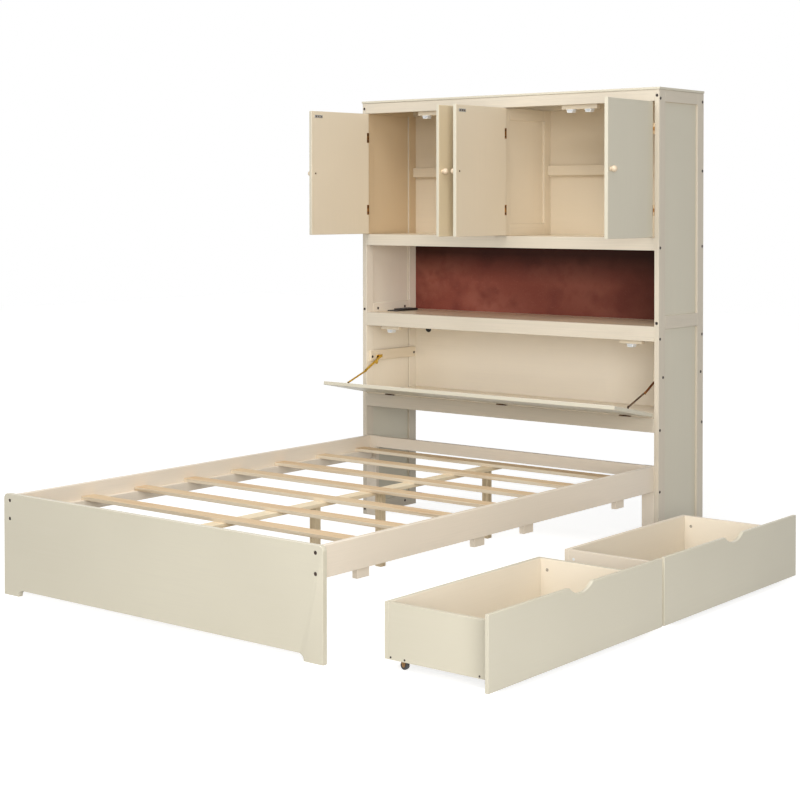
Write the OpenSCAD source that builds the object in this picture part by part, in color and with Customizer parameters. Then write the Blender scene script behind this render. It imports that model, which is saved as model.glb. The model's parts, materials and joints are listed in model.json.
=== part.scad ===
// Storage bed: a slatted bed frame joined to a tall headboard cabinet with four
// doors, an open desk shelf and a drop-down flap on folding stays, and two
// wheeled drawers that roll in under the right side rail.
// It stands as photographed: doors and flap open, drawers pulled out.

/* [Cabinet] */
// Width over the two side frames
cab_w = 1450; // [1400:1:1600]
// Depth of the side frames, front to back
cab_d = 348; // [320:1:450]
// Height from the floor to the top of the top board
cab_h = 1780; // [1760:1:1900]
// Thickness of the top board
top_t = 9; // [6:1:20]
// Overhang of the top board at the front and sides
top_overhang = 3; // [1:1:10]
// Thickness of the cross rails at the front and back
rail_t = 20; // [18:1:22]
// Thickness of the shelf, the desk and the compartment floor
board_t = 15; // [9:1:20]
// Thickness of the back panels
back_t = 4; // [3:1:9]
// Height of the top cross rail
top_rail_h = 44; // [36:1:60]
// Height of the shelf surface under the doors
shelf_z = 1210; // [1150:1:1260]
// Height of the cross rail under the doors
shelf_rail_h = 48; // [36:1:60]
// Height of the desk surface
desk_z = 873.5; // [840:0.5:900]
// Height of the cross rail under the desk
desk_rail_h = 56.5; // [40:0.5:70]
// Height of the compartment floor behind the flap
floor_z = 526; // [500:1:560]
// Height of the cross rail under the flap
low_rail_h = 55; // [40:1:70]
// Height of the underside of the back battens in the door bays
batten_z = 1457; // [1420:1:1500]
// Height of the back battens
batten_h = 42; // [30:1:60]

/* [Side frames and divider] */
// Thickness of the side frames and of the divider
side_t = 20; // [18:1:24]
// Width of the stiles
stile_w = 48; // [40:1:60]
// Height of the top rail of a side frame
side_top_h = 46; // [40:1:60]
// Height of the middle rail of a side frame
side_mid_h = 50; // [40:1:60]
// Drop of the middle rail's underside below the desk surface
side_mid_drop = 11.5; // [0:0.5:30]
// Height of the bottom rail of a side frame
side_base_h = 48; // [40:1:60]
// Thickness of the panels held in the frames
panel_t = 4; // [3:1:8]
// Depth to which a panel is let into its frame
panel_tongue = 6; // [4:1:10]

/* [Doors] */
// Thickness of the doors
door_t = 15; // [12:1:18]
// Gap beside a door and under the flap, where the hinge leaves lie
side_gap = 2; // [2:0.1:3]
// Gap above and below a door and above the flap
end_gap = 1.5; // [1.5:0.1:4]
// Opening angle of the left outer door
left_outer_open = 94; // [0:0.5:170]
// Opening angle of the left inner door
left_inner_open = 83.5; // [0:0.5:84.5]
// Opening angle of the right inner door
right_inner_open = 89.5; // [0:0.5:90.5]
// Opening angle of the right outer door
right_outer_open = 92; // [0:0.5:170]
// Radius of the round knob head
knob_r = 12.5; // [9:0.5:12.5]
// Distance from the door's face to the tip of the knob
knob_reach = 26; // [25.5:0.5:27]
// Radius of the knob's neck
knob_neck_r = 7; // [5:0.5:8]
// Distance of the knob's centre from the free edge of the door
knob_edge = 23; // [20:1:60]

/* [Hinges] */
// Length of the door hinges
door_leaf_len = 42; // [30:1:70]
// Length of the flap hinges
flap_leaf_len = 49; // [30:1:70]
// Distance of a door hinge's middle from the end of the door
hinge_inset = 103; // [60:1:140]
// Places of the flap hinges across the cabinet
flap_hinge_x = [-574, 4, 580];
// Width of a hinge leaf
leaf_w = 12; // [8:1:14]
// Width of the part of a door's leaf that wraps onto the door's inner face
wrap_w = 12; // [8:1:16]
// Thickness of a hinge leaf
leaf_t = 0.8; // [0.5:0.1:0.8]
// Distance of the hinge pin in front of the doors and the flap
pivot_out = 3; // [3:0.1:4]
// Radius of a hinge knuckle
knuckle_r = 2.6; // [2.3:0.1:2.6]
// Radius of a hinge pin
pin_r = 1.5; // [1:0.1:1.8]
// Clearance around hinge pins, stay pins and axles
pin_clear = 0.05; // [0.03:0.01:0.1]
// Gap between two knuckles of a hinge
knuckle_gap = 0.4; // [0.3:0.1:1]

/* [Flap and stays] */
// Thickness of the flap
flap_t = 15; // [12:1:18]
// Opening angle of the flap
flap_open = 79; // [40:1:79]
// Thickness of the cleats that carry the stays
cleat_t = 12; // [10:1:18]
// Height of the cleats
cleat_h = 44; // [36:1:60]
// Height of the cleats' underside above the compartment floor
cleat_up = 136; // [120:1:150]
// Clearance between the closed flap or a door and what stands behind it
behind_gap = 2; // [1.5:0.1:4]
// Distance of the stay's upper pin behind the cabinet front
stay_back = 74; // [70:1:80]
// Height of the stay's upper pin above the cleat's underside
stay_rise = 18; // [15:1:24]
// Height of the stay's lower pin above the hinge line, flap closed
stay_up = 155; // [150:1:160]
// Distance of the stay's lower pin from the flap's inner face
stay_off = 8.5; // [8:0.1:10]
// Length of the stay's upper arm between its pins
upper_arm = 119; // [119:1:130]
// Length of the stay's lower arm between its pins
lower_arm = 126; // [126:1:130]
// Width of the stay's upper arm
upper_arm_w = 11; // [8:1:12]
// Width of the stay's lower arm
lower_arm_w = 8; // [6:1:10]
// Radius of the lobe under the upper arm
lobe_r = 10; // [8:1:12]
// Distance of the lobe from the arm's upper pin
lobe_at = 36; // [30:1:50]
// Distance of the lobe below the arm's middle line
lobe_drop = 6; // [2:1:8]
// Thickness of a stay arm
arm_t = 1.5; // [1:0.1:2]
// Radius of a stay pin
stay_pin_r = 2; // [1.5:0.1:2.5]

/* [Catches and power point] */
// Width of a magnetic catch
catch_w = 40; // [30:1:50]
// Height of a magnetic catch
catch_h = 13; // [10:1:18]
// Distance between the two catches of a door bay
catch_pitch = 84; // [70:1:100]
// Width of the wood block that carries the two catches
block_w = 163; // [150:1:180]
// Drop of a catch block below the rail in front of it
block_drop = 17; // [12:1:22]
// Depth of a catch block
block_d = 24; // [20:1:30]
// Distance from the middle of the cabinet to a catch under the desk
desk_catch_x = 590; // [500:1:620]
// Width of the wood block under the desk
desk_block_w = 98; // [80:1:120]
// Width of a strike plate
strike_w = 46; // [36:1:50]
// Height of a strike plate
strike_h = 12; // [8:1:16]
// Thickness of a strike plate
strike_t = 0.8; // [0.5:0.1:1]
// Size of the power point on the desk: across, front to back and high
outlet_size = [52, 150, 9];
// Gap between the power point and the left side frame
outlet_side = 20; // [12:1:60]
// Distance of the power point behind the cabinet front
outlet_back = 120; // [60:1:150]
// Radius of the cable grommet in the lower back panel
grommet_r = 12; // [8:1:20]
// Distance of the grommet's middle from the left side frame
grommet_side = 71; // [40:1:200]
// Distance of the grommet's middle below the desk rail
grommet_down = 32; // [24:1:60]

/* [Bed frame] */
// Length of the side rails, from the cabinet to the footboard
rail_len = 1918; // [1900:1:2050]
// Height of the side rails
bed_rail_h = 96; // [90:1:120]
// Height of the side rails' underside above the floor
bed_rail_z = 247; // [245:1:260]
// Thickness of the side rails and of the head frame
bed_rail_t = 20; // [18:1:25]
// Width of the head legs
head_leg_w = 53; // [40:1:70]
// Height of the rail between the head legs
head_rail_h = 46; // [36:1:60]
// Width of a slat
slat_w = 60; // [50:1:90]
// Thickness of a slat
slat_t = 13; // [10:1:18]
// Number of slats
slat_count = 8; // [6:1:12]
// Distance of the first and last slat from the ends of the rails
slat_end = 40; // [20:1:120]
// Width of the ledge that carries the slats
ledge_w = 20; // [18:1:30]
// Height of the ledge that carries the slats
ledge_h = 35; // [25:1:40]
// Height of the ledge's underside above the side rail's underside
ledge_up = 4; // [0:1:10]
// Width of the centre beam
beam_w = 54; // [40:1:80]
// Thickness of the centre beam
beam_t = 14; // [12:1:40]
// Side of the square centre legs
leg_s = 28; // [24:1:50]
// Distance of the outer centre legs from the ends of the rails
outer_leg_in = 98; // [60:1:200]
// Distance of the inner centre legs from the middle of the bed
inner_leg_place = 183; // [100:1:300]
// Length of a drawer stop
stop_len = 57; // [40:1:80]
// Drop of a drawer stop below the side rail
stop_drop = 35; // [28:1:36]
// Distance of the inner drawer stops from the middle of the bed
inner_stop_place = 144; // [100:1:240]
// Distance of the outer drawer stops from the ends of the rails
outer_stop_in = 214; // [120:1:300]

/* [Footboard] */
// Thickness of the footboard
foot_t = 18; // [15:1:25]
// Height of the footboard
foot_h = 348; // [340:1:420]
// Radius of the footboard's top corners
foot_r = 18; // [5:1:30]
// Width of a foot
foot_w = 76; // [60:1:100]
// Height of the opening between the feet
foot_cut_h = 22; // [20:1:40]
// Radius of the opening's corners
foot_cut_r = 20; // [5:1:20]
// Radius of a bolt head
bolt_r = 6; // [3:0.5:6]
// Depth of a bolt head
bolt_d = 4; // [3:0.5:5]
// Depth at which a bolt head lies below the surface
bolt_sink = 0.5; // [0.5:0.1:2]
// Distance of a bolt above the underside of the rail that it holds
bolt_up = 10; // [8:1:20]
// Distance of the inner bolts from the rails at the front and the back
spare_bolt_in = 60; // [50:1:80]

/* [Drawers] */
// Room that the two drawer fronts leave at each end of the rails
front_play = 15; // [13:1:40]
// Gap between the two drawer fronts
front_gap = 14; // [8:1:30]
// Distance by which the drawers stand nearer to the footboard than the middle
drawer_shift = 12; // [0:1:12]
// Thickness of a drawer front
front_t = 12; // [10:1:20]
// Height of the underside of a drawer front above the floor
front_z = 16; // [12:1:25]
// Height of the top of a drawer front above the floor
front_top = 232; // [225:1:240]
// Length of a drawer box
box_len = 798; // [700:1:850]
// Depth of a drawer box behind its front
box_d = 403; // [350:1:450]
// Height of a drawer box's underside above the floor
box_z = 29; // [29:1:40]
// Height of the top of a drawer box above the floor
box_top = 195; // [180:1:205]
// Thickness of a drawer's walls
wall_t = 15; // [12:1:18]
// Thickness of a drawer's bottom
bottom_t = 6; // [4:1:9]
// Depth to which the bottom is let into the walls
bottom_tongue = 5; // [3:1:8]
// Radius of the finger notch
notch_r = 100; // [80:1:150]
// Depth of the finger notch
notch_d = 24; // [15:1:35]
// Distance by which the drawers are pulled out
pull = 599; // [0:1:600]
// Clearance between a closed drawer front and its stops
stop_gap = 0.4; // [0.3:0.1:2]

/* [Casters] */
// Radius of a caster wheel
wheel_r = 13; // [11:0.5:13.5]
// Width of a caster wheel
wheel_w = 12; // [9:1:14]
// Radius of a caster axle
axle_r = 2; // [1.5:0.1:3]
// Thickness of a caster's cheeks
cheek_t = 1.5; // [1:0.1:2]
// Gap between a wheel and its cheeks
cheek_gap = 0.8; // [0.5:0.1:2]
// Distance of a caster from the back or front of the drawer box
caster_in_x = 53; // [40:1:80]
// Distance of a caster from the side of the drawer box
caster_in_y = 28; // [28:1:60]

/* [Hidden] */
$fn = 48;
cut = 1;
cream = "#D9CFBA";
warm_cream = "#DCC9A6";
pine = "#DDC194";
red_board = "#6B3A33";
black = "#1D1B1A";
brown_steel = "#4A382B";
brass = "#B58A35";
white = "#E9E6DE";

cab_half = cab_w / 2;
inner_half = cab_half - side_t;
side_h = cab_h - top_t;
side_mid_z = desk_z - side_mid_drop;
top_rail_z = side_h - top_rail_h;
shelf_rail_z = shelf_z - shelf_rail_h;
desk_rail_z = desk_z - desk_rail_h;
low_rail_z = floor_z - low_rail_h;
rail_rows = [
  [top_rail_z, top_rail_h],
  [shelf_rail_z, shelf_rail_h],
  [desk_rail_z, desk_rail_h],
  [low_rail_z, low_rail_h]
];
back_y = cab_d - rail_t;

door_z0 = shelf_z + end_gap;
door_z1 = top_rail_z - end_gap;
door_w = (inner_half - side_t / 2 - 3 * side_gap) / 2;
// Hinge line, side of the hinge (1 for left) and opening angle of each door
doors = [
  [-inner_half + side_gap / 2, 1, left_outer_open],
  [-side_t / 2 - side_gap / 2, -1, left_inner_open],
  [side_t / 2 + side_gap / 2, 1, right_inner_open],
  [inner_half - side_gap / 2, -1, right_outer_open]
];
knob_z = (door_z0 + door_z1) / 2 - 2;
bay_mid = (inner_half + side_t / 2) / 2;
strike_x = side_gap / 2 + door_w - (catch_pitch - side_gap) / 2;

flap_w = 2 * (inner_half - side_gap);
flap_h = desk_rail_z - end_gap - floor_z - side_gap;
flap_axis = [-pivot_out, floor_z + side_gap / 2];
cleat_z = floor_z + cleat_up;
cleat_y = flap_t + behind_gap;
cleat_face = inner_half - cleat_t;
plate_t = 1.5;
stay_gap = 0.5;
stay_stand = 7;
upper_x = cleat_face - stay_stand - arm_t;
lower_x = upper_x - stay_gap - arm_t;
ear_x = lower_x - stay_gap - plate_t;

// Points of the stays are pairs of distances back and up, turned about the flap hinge
function turned(a, p) = [p[0] * cos(a) - p[1] * sin(a), p[0] * sin(a) + p[1] * cos(a)];
stay_head = [stay_back, cleat_z + stay_rise];
stay_foot = [pivot_out + flap_t + stay_off, stay_up];
foot_at = flap_axis + turned(flap_open, stay_foot);
stay_span = foot_at - stay_head;
span = norm(stay_span);
arm_bend = acos((upper_arm ^ 2 + span ^ 2 - lower_arm ^ 2) / (2 * upper_arm * span));
upper_turn = atan2(stay_span[1], stay_span[0]) + arm_bend;
rivet_at = stay_head + upper_arm * [cos(upper_turn), sin(upper_turn)];
lower_turn = atan2(rivet_at[1] - foot_at[1], rivet_at[0] - foot_at[0]);

bed_mid = -rail_len / 2;
slat_pitch = (rail_len - 2 * slat_end - slat_w) / (slat_count - 1);
leg_places = [inner_leg_place, rail_len / 2 - outer_leg_in];
stop_places = [inner_stop_place, rail_len / 2 - outer_stop_in];
bed_rail_x = inner_half - bed_rail_t;
ledge_z = bed_rail_z + ledge_up;
slat_z = ledge_z + ledge_h;
slat_len = 2 * (bed_rail_x - 1);
head_leg_h = bed_rail_z + bed_rail_h + 1;
head_inner = inner_half - head_leg_w;
foot_y = -rail_len - foot_t;

closed_in = bed_rail_x + stop_gap;
front_in = closed_in + pull;
front_out = front_in + front_t;
box_back = front_in - box_d;
front_len = (rail_len - front_gap) / 2 - front_play;
drawer_pitch = front_len + front_gap;
drawer_mids = [for (side = [-1, 1]) bed_mid - drawer_shift + side * drawer_pitch / 2];
bottom_z = box_z + 4;
fork_half = wheel_w / 2 + cheek_gap;

// The origin is the middle of the whole object's outline on the floor
knob_turned = turned(-left_outer_open,
  [side_gap / 2 + door_w - knob_edge, pivot_out - knob_reach + knob_r]);
mid_x = (doors[0][0] + knob_turned[0] - knob_r + front_out) / 2;
mid_y = (foot_y + cab_d + back_t) / 2;

module place() {
  translate([-mid_x, -mid_y, 0]) children();
}

// A box between two corners
module block(low, high) {
  translate(low) cube(high - low);
}

module both_sides() {
  children();
  mirror([1, 0, 0]) children();
}

// A round bar along X
module bar_x(r, x0, x1) {
  translate([x0, 0, 0]) rotate([0, 90, 0]) cylinder(r = r, h = x1 - x0);
}

// A round bar along Y
module bar_y(r, y0, y1) {
  translate([0, y0, 0]) rotate([-90, 0, 0]) cylinder(r = r, h = y1 - y0);
}

// The two panels of a side frame, let into their grooves
module side_panel_pair() {
  mid = cab_half - side_t / 2;
  rows = [
    [side_base_h, side_mid_z],
    [side_mid_z + side_mid_h, side_h - side_top_h]
  ];
  for (row = rows)
    block([mid - panel_t / 2, stile_w - panel_tongue, row[0] - panel_tongue],
      [mid + panel_t / 2, cab_d - stile_w + panel_tongue, row[1] + panel_tongue]);
}

module divider_panel() {
  block([-panel_t / 2, stile_w - panel_tongue, shelf_z + stile_w - panel_tongue],
    [panel_t / 2, cab_d - stile_w + panel_tongue, top_rail_z - stile_w + panel_tongue]);
}

// Places of the bolts in the outer face of a side frame, axis pointing inwards
module at_side_bolts() {
  spots = [
    for (row = rail_rows) [rail_t / 2, row[0] + bolt_up],
    for (row = rail_rows) [back_y + rail_t / 2, row[0] + bolt_up],
    [back_y + rail_t / 2, batten_z + bolt_up],
    [cleat_y + 16, cleat_z + stay_rise],
    [back_y, cleat_z + stay_rise],
    [bed_rail_t / 2, bed_rail_z]
  ];
  for (spot = spots)
    translate([cab_half, spot[0], spot[1]]) rotate([0, -90, 0]) children();
}

// Places of the bolts in the front edge of a side frame, axis pointing inwards
module at_edge_bolts() {
  heights = [side_base_h / 2, side_mid_z + side_mid_h / 2, side_h - side_top_h / 2];
  for (z = heights)
    translate([cab_half - side_t / 2, 0, z]) rotate([-90, 0, 0]) children();
}

// Places of the bolts in the inner face of a side frame, axis pointing outwards
module at_inner_bolts() {
  spots = [
    [rail_t + spare_bolt_in, side_mid_z + side_mid_h / 2],
    [back_y - spare_bolt_in, side_mid_z + side_mid_h / 2],
    [back_y - spare_bolt_in, side_base_h / 2]
  ];
  for (spot = spots)
    translate([inner_half, spot[0], spot[1]]) rotate([0, 90, 0]) children();
}

// Places of the screws that hold a cleat, axis pointing outwards
module at_cleat_screws() {
  for (y = [cleat_y + 10, back_y - 10])
    translate([cleat_face, y, cleat_z + stay_rise]) rotate([0, 90, 0]) children();
}

module at_foot_bolts() {
  for (z = [2 * bolt_up - 4, bed_rail_h - 2 * bolt_up + 2])
    translate([inner_half - bed_rail_t / 2, foot_y, bed_rail_z + z])
      rotate([-90, 0, 0]) children();
}

module bolt_seat() {
  translate([0, 0, -cut]) cylinder(r = bolt_r, h = bolt_sink + bolt_d + cut);
}

module bolt_head() {
  translate([0, 0, bolt_sink]) difference() {
    cylinder(r = bolt_r, h = bolt_d);
    translate([0, 0, -cut]) cylinder(r = bolt_r / 2, h = bolt_d / 2 + cut, $fn = 6);
  }
}

module side_frame() {
  difference() {
    block([inner_half, 0, 0], [cab_half, cab_d, side_h]);
    block([inner_half - cut, stile_w, side_base_h],
      [cab_half + cut, cab_d - stile_w, side_mid_z]);
    block([inner_half - cut, stile_w, side_mid_z + side_mid_h],
      [cab_half + cut, cab_d - stile_w, side_h - side_top_h]);
    side_panel_pair();
    at_side_bolts() bolt_seat();
    at_edge_bolts() bolt_seat();
    at_inner_bolts() bolt_seat();
  }
}

module left_side_frame() {
  color(cream) place() mirror([1, 0, 0]) side_frame();
}

module right_side_frame() {
  color(cream) place() side_frame();
}

module frame_panels() {
  color(cream) place() {
    both_sides() side_panel_pair();
    divider_panel();
  }
}

module top_board() {
  color(cream) place()
    block([-cab_half - top_overhang, -top_overhang, side_h],
      [cab_half + top_overhang, cab_d, cab_h]);
}

module front_rails() {
  color(cream) place()
    for (row = rail_rows)
      block([-inner_half, 0, row[0]], [inner_half, rail_t, row[0] + row[1]]);
}

module back_rails() {
  color(warm_cream) place() {
    for (row = rail_rows)
      block([-inner_half, back_y, row[0]], [inner_half, cab_d, row[0] + row[1]]);
    both_sides()
      block([side_t / 2, back_y, batten_z], [inner_half, cab_d, batten_z + batten_h]);
  }
}

// A board between the front and back rails, its top flush with them
module inner_board(top) {
  block([-inner_half, rail_t, top - board_t], [inner_half, back_y, top]);
}

module shelf_board() {
  color(cream) place() inner_board(shelf_z);
}

module desk_board() {
  color(cream) place() inner_board(desk_z);
}

module compartment_floor() {
  color(warm_cream) place() inner_board(floor_z);
}

module divider_frame() {
  color(cream) place() difference() {
    block([-side_t / 2, 0, shelf_z], [side_t / 2, cab_d, top_rail_z]);
    block([-side_t / 2 - cut, stile_w, shelf_z + stile_w],
      [side_t / 2 + cut, cab_d - stile_w, top_rail_z - stile_w]);
    divider_panel();
  }
}

module back_panel(x0, x1, z0, z1) {
  block([x0, cab_d, z0], [x1, cab_d + back_t, z1]);
}

shelf_seam = shelf_rail_z + shelf_rail_h / 2;
desk_seam = desk_rail_z + desk_rail_h / 2;
low_seam = low_rail_z + low_rail_h / 2;
panel_half = cab_half - side_t / 2;

module upper_back_panels() {
  color(warm_cream) place() both_sides() back_panel(0.5, panel_half, shelf_seam, side_h);
}

module shelf_back_board() {
  color(red_board) place() back_panel(-panel_half, panel_half, desk_seam, shelf_seam);
}

grommet_x = -inner_half + grommet_side;
grommet_z = desk_rail_z - grommet_down;

module lower_back_panel() {
  color(warm_cream) place() difference() {
    back_panel(-panel_half, panel_half, low_seam, desk_seam);
    translate([grommet_x, 0, grommet_z]) bar_y(grommet_r, cab_d - cut, cab_d + back_t + cut);
  }
}

// The cleats under the stays, and the blocks that carry the magnetic catches
module fitting_blocks() {
  bay_z = top_rail_z - block_drop;
  desk_block_z = desk_rail_z - end_gap - catch_h;
  color(warm_cream) place() both_sides() {
    difference() {
      block([cleat_face, cleat_y, cleat_z], [inner_half, back_y, cleat_z + cleat_h]);
      at_cleat_screws() bolt_seat();
    }
    block([bay_mid - block_w / 2, rail_t, bay_z],
      [bay_mid + block_w / 2, rail_t + block_d, side_h]);
    block([desk_catch_x - desk_block_w / 2, rail_t, desk_block_z],
      [desk_catch_x + desk_block_w / 2, rail_t + block_d, desk_z - board_t]);
  }
}

// A magnetic catch hung under a block, with the slot that holds its magnet
module catch(x, z) {
  front = door_t + behind_gap;
  difference() {
    block([x - catch_w / 2, front, z - catch_h], [x + catch_w / 2, rail_t + block_d, z]);
    block([x - catch_w / 4, front - cut, z - catch_h * 0.7],
      [x + catch_w / 4, front + 1, z - catch_h * 0.3]);
  }
}

module magnet_catches() {
  color(white) place() both_sides() {
    for (side = [-1, 1])
      catch(bay_mid + side * catch_pitch / 2, top_rail_z - block_drop);
    catch(desk_catch_x, desk_rail_z - end_gap - catch_h);
  }
}

module outlet_and_grommet() {
  step_y = outlet_size[1] * 0.3;
  x0 = -inner_half + outlet_side;
  color(black) place() {
    block([x0, outlet_back, desk_z],
      [x0 + outlet_size[0], outlet_back + step_y, desk_z + outlet_size[2] * 0.45]);
    block([x0, outlet_back + step_y, desk_z],
      [x0 + outlet_size[0], outlet_back + outlet_size[1], desk_z + outlet_size[2]]);
    translate([grommet_x, 0, grommet_z]) {
      bar_y(grommet_r, cab_d, cab_d + back_t);
      bar_y(grommet_r + 3, cab_d - 2, cab_d);
    }
  }
}

// Where a hinge's web starts, inside the wall of its knuckle
web_y = (pin_r + knuckle_r) / 2;

// Half of a butt hinge, its pin along Z at the origin, the leaf running back along +Y
module fixed_leaf(len) {
  end_h = (len - len / 3 - knuckle_gap) / 2;
  translate([-side_gap / 2, pivot_out, -len / 2]) cube([leaf_t, leaf_w, len]);
  cylinder(r = pin_r, h = len, center = true);
  for (z = [-len / 2, len / 2 - end_h]) {
    translate([0, 0, z]) cylinder(r = knuckle_r, h = end_h);
    translate([-side_gap / 2, web_y, z]) cube([leaf_t, pivot_out + leaf_w / 2 - web_y, end_h]);
  }
}

module moving_leaf(len) {
  mid_h = len / 3 - knuckle_gap;
  difference() {
    union() {
      translate([side_gap / 2 - leaf_t, pivot_out, -len / 2]) cube([leaf_t, leaf_w, len]);
      cylinder(r = knuckle_r, h = mid_h, center = true);
      translate([side_gap / 2 - leaf_t, web_y, -mid_h / 2])
        cube([leaf_t, pivot_out + leaf_w / 2 - web_y, mid_h]);
    }
    cylinder(r = pin_r + pin_clear, h = len, center = true);
  }
}

// A door's leaf, which goes on round the door's edge and onto its inner face
module wrapped_leaf(len) {
  moving_leaf(len);
  translate([side_gap / 2 - leaf_t, pivot_out, -len / 2])
    cube([leaf_t, door_t + leaf_t, len]);
  translate([side_gap / 2 - leaf_t, pivot_out + door_t, -len / 2])
    cube([leaf_t + wrap_w, leaf_t, len]);
}

// Heights of a door's hinges
door_hinge_z = [door_z0 + hinge_inset, door_z1 - hinge_inset];

// Puts a part drawn for a closed door hinged on its left at a door's hinge line
module at_door(i, angle) {
  translate([doors[i][0], -pivot_out, 0]) rotate([0, 0, -doors[i][1] * angle])
    if (doors[i][1] > 0) children();
    else mirror([1, 0, 0]) children();
}

// Lays a hinge along X at the flap's hinge line
module at_flap_hinges() {
  for (x = flap_hinge_x)
    translate([x, 0, 0]) rotate([0, -90, 0]) children();
}

module at_flap(angle) {
  translate([0, flap_axis[0], flap_axis[1]]) rotate([angle, 0, 0]) children();
}

// The cabinet's hinge leaves with their pins, and the stays' upper brackets
module cabinet_hinges() {
  color(brown_steel) place() {
    for (i = [0:3])
      at_door(i, 0)
        for (z = door_hinge_z)
          translate([0, 0, z]) fixed_leaf(door_leaf_len);
    at_flap(0) at_flap_hinges() fixed_leaf(flap_leaf_len);
    both_sides() translate([0, stay_head[0], stay_head[1]]) {
      block([cleat_face - plate_t, -20, -6], [cleat_face, 20, 6]);
      bar_x(2 * stay_pin_r, cleat_face - stay_stand + stay_gap, cleat_face - plate_t);
      bar_x(stay_pin_r, upper_x, cleat_face - plate_t);
    }
  }
}

module head_frame() {
  color(cream) place() {
    both_sides() block([head_inner, 0, 0], [inner_half, bed_rail_t, head_leg_h]);
    block([-head_inner, 0, head_leg_h - 1 - head_rail_h],
      [head_inner, bed_rail_t, head_leg_h - 1]);
  }
}

module side_rail() {
  block([bed_rail_x, -rail_len, bed_rail_z], [inner_half, 0, bed_rail_z + bed_rail_h]);
}

module side_rail_left() {
  color(cream) place() mirror([1, 0, 0]) side_rail();
}

module side_rail_right() {
  color(cream) place() side_rail();
}

// The ledges that carry the slats, and the blocks that stop the drawers on the right
module ledges_and_stops() {
  end = 8;
  color(warm_cream) place() {
    both_sides()
      block([bed_rail_x - ledge_w, -rail_len + end, ledge_z], [bed_rail_x, -end, slat_z]);
    for (place_y = stop_places, side = [-1, 1])
      translate([0, bed_mid + side * place_y, 0])
        block([bed_rail_x - ledge_w, -stop_len / 2, bed_rail_z - stop_drop],
          [bed_rail_x, stop_len / 2, ledge_z]);
  }
}

module centre_beam() {
  end = 4;
  color(pine) place()
    block([-beam_w / 2, -rail_len + end, slat_z - beam_t], [beam_w / 2, -end, slat_z]);
}

module centre_legs() {
  color(pine) place()
    for (place_y = leg_places, side = [-1, 1])
      translate([0, bed_mid + side * place_y, 0])
        block([-leg_s / 2, -leg_s / 2, 0], [leg_s / 2, leg_s / 2, slat_z - beam_t]);
}

module slats() {
  color(pine) place()
    for (i = [0:slat_count - 1])
      translate([0, bed_mid + (i - (slat_count - 1) / 2) * slat_pitch, slat_z])
        block([-slat_len / 2, -slat_w / 2, 0], [slat_len / 2, slat_w / 2, slat_t]);
}

module footboard() {
  cut_half = cab_half - foot_w;
  color(cream) place() difference() {
    block([-cab_half, foot_y, 0], [cab_half, -rail_len, foot_h]);
    both_sides() {
      difference() {
        block([cab_half - foot_r, foot_y - cut, foot_h - foot_r],
          [cab_half + cut, -rail_len + cut, foot_h + cut]);
        translate([cab_half - foot_r, 0, foot_h - foot_r])
          bar_y(foot_r, foot_y - 2 * cut, -rail_len + 2 * cut);
      }
      translate([cut_half - foot_cut_r, 0, foot_cut_h - foot_cut_r])
        bar_y(foot_cut_r, foot_y - cut, -rail_len + cut);
      at_foot_bolts() bolt_seat();
    }
    block([-cut_half + foot_cut_r, foot_y - cut, -cut],
      [cut_half - foot_cut_r, -rail_len + cut, foot_cut_h]);
    block([-cut_half, foot_y - cut, -cut],
      [cut_half, -rail_len + cut, foot_cut_h - foot_cut_r]);
  }
}

module frame_bolts() {
  color(brown_steel) place() both_sides() {
    at_side_bolts() bolt_head();
    at_edge_bolts() bolt_head();
    at_inner_bolts() bolt_head();
    at_cleat_screws() bolt_head();
    at_foot_bolts() bolt_head();
  }
}

module door_panel(i) {
  color(cream) place() at_door(i, doors[i][2])
    block([side_gap / 2, pivot_out, door_z0],
      [side_gap / 2 + door_w, pivot_out + door_t, door_z1]);
}

module door_knob(i) {
  color(warm_cream) place() at_door(i, doors[i][2])
    translate([side_gap / 2 + door_w - knob_edge, pivot_out, knob_z]) rotate([90, 0, 0]) {
      cylinder(r = knob_neck_r, h = knob_reach - knob_r);
      translate([0, 0, knob_reach - knob_r]) sphere(r = knob_r);
    }
}

// A door's two hinge leaves and its strike plate
module door_fittings(i) {
  strike_z = top_rail_z - block_drop - catch_h / 2;
  color(brown_steel) place() at_door(i, doors[i][2]) {
    for (z = door_hinge_z)
      translate([0, 0, z]) wrapped_leaf(door_leaf_len);
    translate([strike_x, pivot_out + door_t, strike_z])
      block([-strike_w / 2, 0, -strike_h / 2], [strike_w / 2, strike_t, strike_h / 2]);
  }
}

module flap() {
  color(cream) place() at_flap(flap_open)
    block([-flap_w / 2, pivot_out, side_gap / 2],
      [flap_w / 2, pivot_out + flap_t, side_gap / 2 + flap_h]);
}

// The flap's hinge leaves, its two strike plates and the stays' lower brackets
module flap_fittings() {
  inner = pivot_out + flap_t;
  strike_z = desk_rail_z - end_gap - 1.5 * catch_h - flap_axis[1];
  color(brown_steel) place() at_flap(flap_open) {
    at_flap_hinges() moving_leaf(flap_leaf_len);
    both_sides() {
      translate([desk_catch_x, inner, strike_z])
        block([-strike_w / 2, 0, -strike_h / 2], [strike_w / 2, strike_t, strike_h / 2]);
      translate([0, 0, stay_up]) {
        block([ear_x - 14, inner, -10], [ear_x + plate_t, inner + plate_t, 10]);
        block([ear_x, inner, -6], [ear_x + plate_t, inner + stay_off + 5, 6]);
        translate([0, inner + stay_off, 0]) bar_x(stay_pin_r, ear_x, lower_x + arm_t);
      }
    }
  }
}

// A flat arm along +Y from its pin at the origin, with a round eye at each end
module arm(x, len, width) {
  difference() {
    union() {
      block([x, 0, -width / 2], [x + arm_t, len, width / 2]);
      bar_x(width / 2 + 1, x, x + arm_t);
      translate([0, len, 0]) bar_x(width / 2 + 1, x, x + arm_t);
    }
    for (y = [0, len])
      translate([0, y, 0]) bar_x(stay_pin_r + pin_clear, x - cut, x + arm_t + cut);
  }
}

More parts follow.
